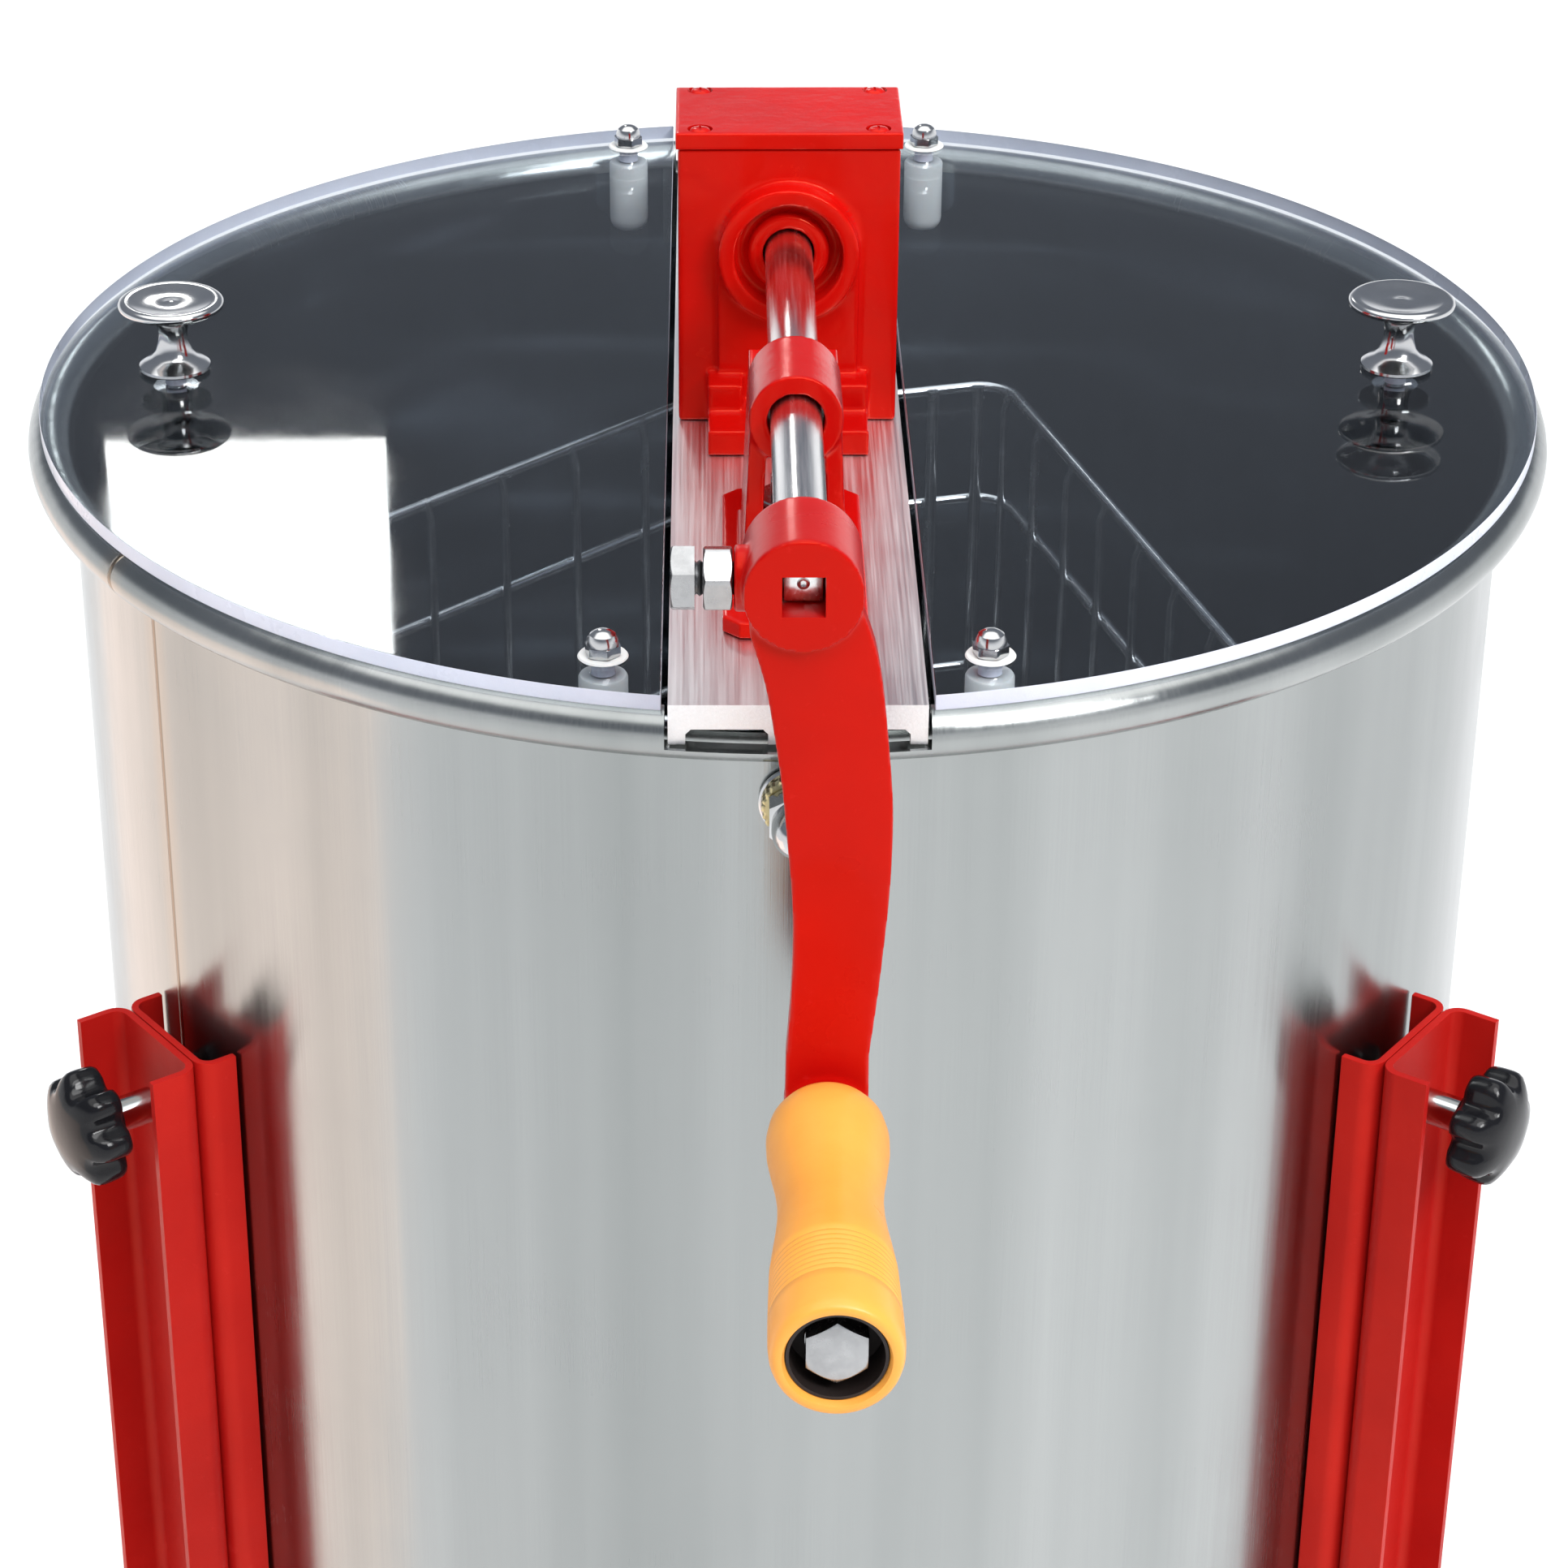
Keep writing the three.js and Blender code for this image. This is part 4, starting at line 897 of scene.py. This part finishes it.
tri = [polar(az + 60, CR, 0) for az in CAGE_AZ]
tri = rounded(tri, [5, 5, 5], 5)
for z in (-140, -205, -270, -335, -400):
    rails.append(([(x, y, z) for x, y in tri], True))
for az in CAGE_AZ:
    x, y = polar(az + 60, CR - 9, 0)
    rails.append(([(x, y, -401), (x, y, -139)], False))
    for t in (-72, -36, 0, 36, 72):
        x, y = polar(az, CORE - 3.0, t)
        rails.append(([(x, y, -401), (x, y, -139)], False))
    for z in (-140, -400):
        x0, y0 = polar(az + 60, 12.5, 0)
        x1, y1 = polar(az + 60, CR - 6, 0)
        rails.append(([(x0, y0, z + 2.5), (x1, y1, z + 2.5)], False))
wires("basket_core_rails", rails, 1.5, "basket")
sp = lathe("bottom_spider_plate", [(8.3, CB - 4), (13, CB - 4), (13, CB - 24), (8.3, CB - 24)], 48)
for az in CAGE_AZ:
    arm_ = box("a", 11, GR + 1.5, -6, 6, CB - 7.8, CB - 2.6)
    shelf = box("b", GR - 24, GR - 16, -72, 72, CB - 7.8, CB - 2.6)
    join(arm_, shelf)
    turn_z(arm_, az)
    join(sp, arm_)
minus(sp, rod("h", "z", CB - 40, CB + 10, 8.3, (0, 0, 0), 48))
bevel(sp, 0.5, 2, 40)
done(sp, "zinc", "basket", "bottom_spider", 35)

# ------------------------------------------------------------------ honey gate
zc = GATE_Z
g = lathe("gate_spout_casting", [(20, -213), (30, -213), (30, -208), (22, -208), (22, -186.2), (20, -186.2)], 96, "y", (0, 0, zc))
join(g, box("a", -8, 8, -213, -208, zc + 26, zc + 42), box("b", -8, 8, -213, -208, zc - 30, zc - 26))
minus(g, rod("c", "y", -220, -200, 3.3, (0, 0, zc + 35), 32))
bevel(g, 0.6, 2, 40)
done(g, "gate", "drum", "gate_body", 35)
fl = prism("gate_flap_casting", [(27 * cos(2 * pi * i / 96), zc + 27 * sin(2 * pi * i / 96)) for i in range(96)], -217.6, -213.3, "xz")
join(fl, prism("a", [(-8, zc + 20), (8, zc + 20), (8, zc + 38), (5, zc + 42), (-5, zc + 42), (-8, zc + 38)], -217.6, -213.3, "xz"), prism("b", [(-5, zc - 34), (5, zc - 34), (5, zc - 20), (-5, zc - 20)], -217.6, -213.3, "xz"))
minus(fl, rod("c", "y", -220, -200, 3.3, (0, 0, zc + 35), 32))
bevel(fl, 0.7, 2, 40)
done(fl, "gate", "gate", "gate_flap", 35)
wn = lathe("gate_wing_nut_turned", [(0, -206.5), (5, -206.5), (5, -207.7), (3, -207.7), (3, -218.1), (7, -218.1), (7.2, -219), (7, -224), (4.5, -227), (0, -227)], 48, "y", (0, 0, zc + 35))
join(wn, prism("w", [(-18, zc + 32), (-16.5, zc + 30.6), (-13, zc + 30), (0, zc + 33), (13, zc + 30), (16.5, zc + 30.6), (18, zc + 32), (18, zc + 38), (16.5, zc + 41), (13, zc + 42), (0, zc + 37), (-13, zc + 42), (-16.5, zc + 41), (-18, zc + 38)], -223.5, -220.5, "xz"))
bevel(wn, 0.6, 2, 40)
done(wn, "gate", "gate_nut", "gate_wing_nut", 35)

# ------------------------------------------------------------------ stage
me = bpy.data.meshes.new("floor")
S = 30.0
me.from_pydata([(-S, -S, 0), (S, -S, 0), (S, S, 0), (-S, S, 0)], [], [(0, 1, 2, 3)])
floor = bpy.data.objects.new("floor", me)
bpy.context.scene.collection.objects.link(floor)
fm, nt, b, _ = new_mat("pale_floor")
c = ramp(nt, noise(nt, coords(nt), 1.5, 3), [(0.2, (0.86, 0.86, 0.86)), (0.8, (0.90, 0.90, 0.90))])
nt.links.new(c, b.inputs["Base Color"])
b.inputs["Roughness"].default_value = 0.8
b.inputs["Specular IOR Level"].default_value = 0.15
me.materials.append(fm)

world = bpy.data.worlds.new("studio")
bpy.context.scene.world = world
world.use_nodes = True
wt = world.node_tree
bg = wt.nodes["Background"]
tc_ = wt.nodes.new("ShaderNodeTexCoord")
sx = wt.nodes.new("ShaderNodeSeparateXYZ")
wt.links.new(tc_.outputs["Generated"], sx.inputs[0])
wr = ramp(wt, sx.outputs[2], [(0.0, (0.55, 0.56, 0.58)), (0.12, (0.46, 0.47, 0.49)), (0.26, (0.10, 0.11, 0.13)), (0.74, (0.12, 0.13, 0.15)), (0.86, (1.0, 1.0, 1.0))])
wt.links.new(wr, bg.inputs[0])
bg.inputs[1].default_value = 2.1
bpy.context.scene.view_settings.view_transform = "Standard"


def area(name, loc, target, size, power, col=(1, 1, 1)):
    l = bpy.data.lights.new(name, "AREA")
    l.shape = "RECTANGLE"
    l.size, l.size_y = size
    l.energy = power
    l.color = col
    ob = bpy.data.objects.new(name, l)
    ob.location = loc
    d = Vector(target) - Vector(loc)
    ob.rotation_euler = d.to_track_quat("-Z", "Y").to_euler()
    bpy.context.scene.collection.objects.link(ob)
    return ob


def sun(name, direction, strength, angle, col=(1, 1, 1)):
    l = bpy.data.lights.new(name, "SUN")
    l.energy, l.angle, l.color = strength, rad(angle), col
    ob = bpy.data.objects.new(name, l)
    ob.rotation_euler = Vector(direction).to_track_quat("-Z", "Y").to_euler()
    bpy.context.scene.collection.objects.link(ob)
    return ob


sun("soft_sun", (-0.30, 0.60, -1.25), 1.35, 35)
area("key", (1.3, -1.5, 2.5), (0, 0, 0.85), (0.8, 0.7), 34)
win = area("window", (-0.435, 2.5, 2.15), (-0.435, 1.5, 2.15), (0.25, 0.32), 1.0, (1.0, 0.995, 0.97))
win.data.energy = 10.0 * pi * 0.25 * 0.32
card = area("warm_card", (-0.85, 0.305, 0.31), (0.5, 0.305, 0.31), (1.39, 0.62), 1.0, (1.0, 0.52, 0.26))
card.data.energy = 0.62 * pi * 1.39 * 0.62

for o_ in bpy.context.scene.objects:
    if o_.type == "LIGHT":
        o_.visible_camera = False

# ------------------------------------------------------------------ camera
yaw, pitch, roll = -0.0098, 0.5143, -0.005
fwd = Vector((sin(yaw) * cos(pitch), cos(yaw) * cos(pitch), -sin(pitch)))
rt = Vector((cos(yaw), -sin(yaw), 0))
up = rt.cross(fwd)
r = rt * cos(roll) + up * sin(roll)
u = -rt * sin(roll) + up * cos(roll)
cam = bpy.data.cameras.new("camera")
cam.sensor_width = 36.0
cam.lens = 36.0 * 5231.7 / 1932.0
cam.shift_x = (966 - 830.8) / 1932.0
cam.shift_y = (1120.6 - 966) / 1932.0
cam.clip_start, cam.clip_end = 0.05, 100
co = bpy.data.objects.new("camera", cam)
m3 = Matrix((r, u, -fwd)).transposed()
co.matrix_world = Matrix.Translation(Vector(W((-19.8, -1052.1, 433.6)))) @ m3.to_4x4()
bpy.context.scene.collection.objects.link(co)
bpy.context.scene.camera = co
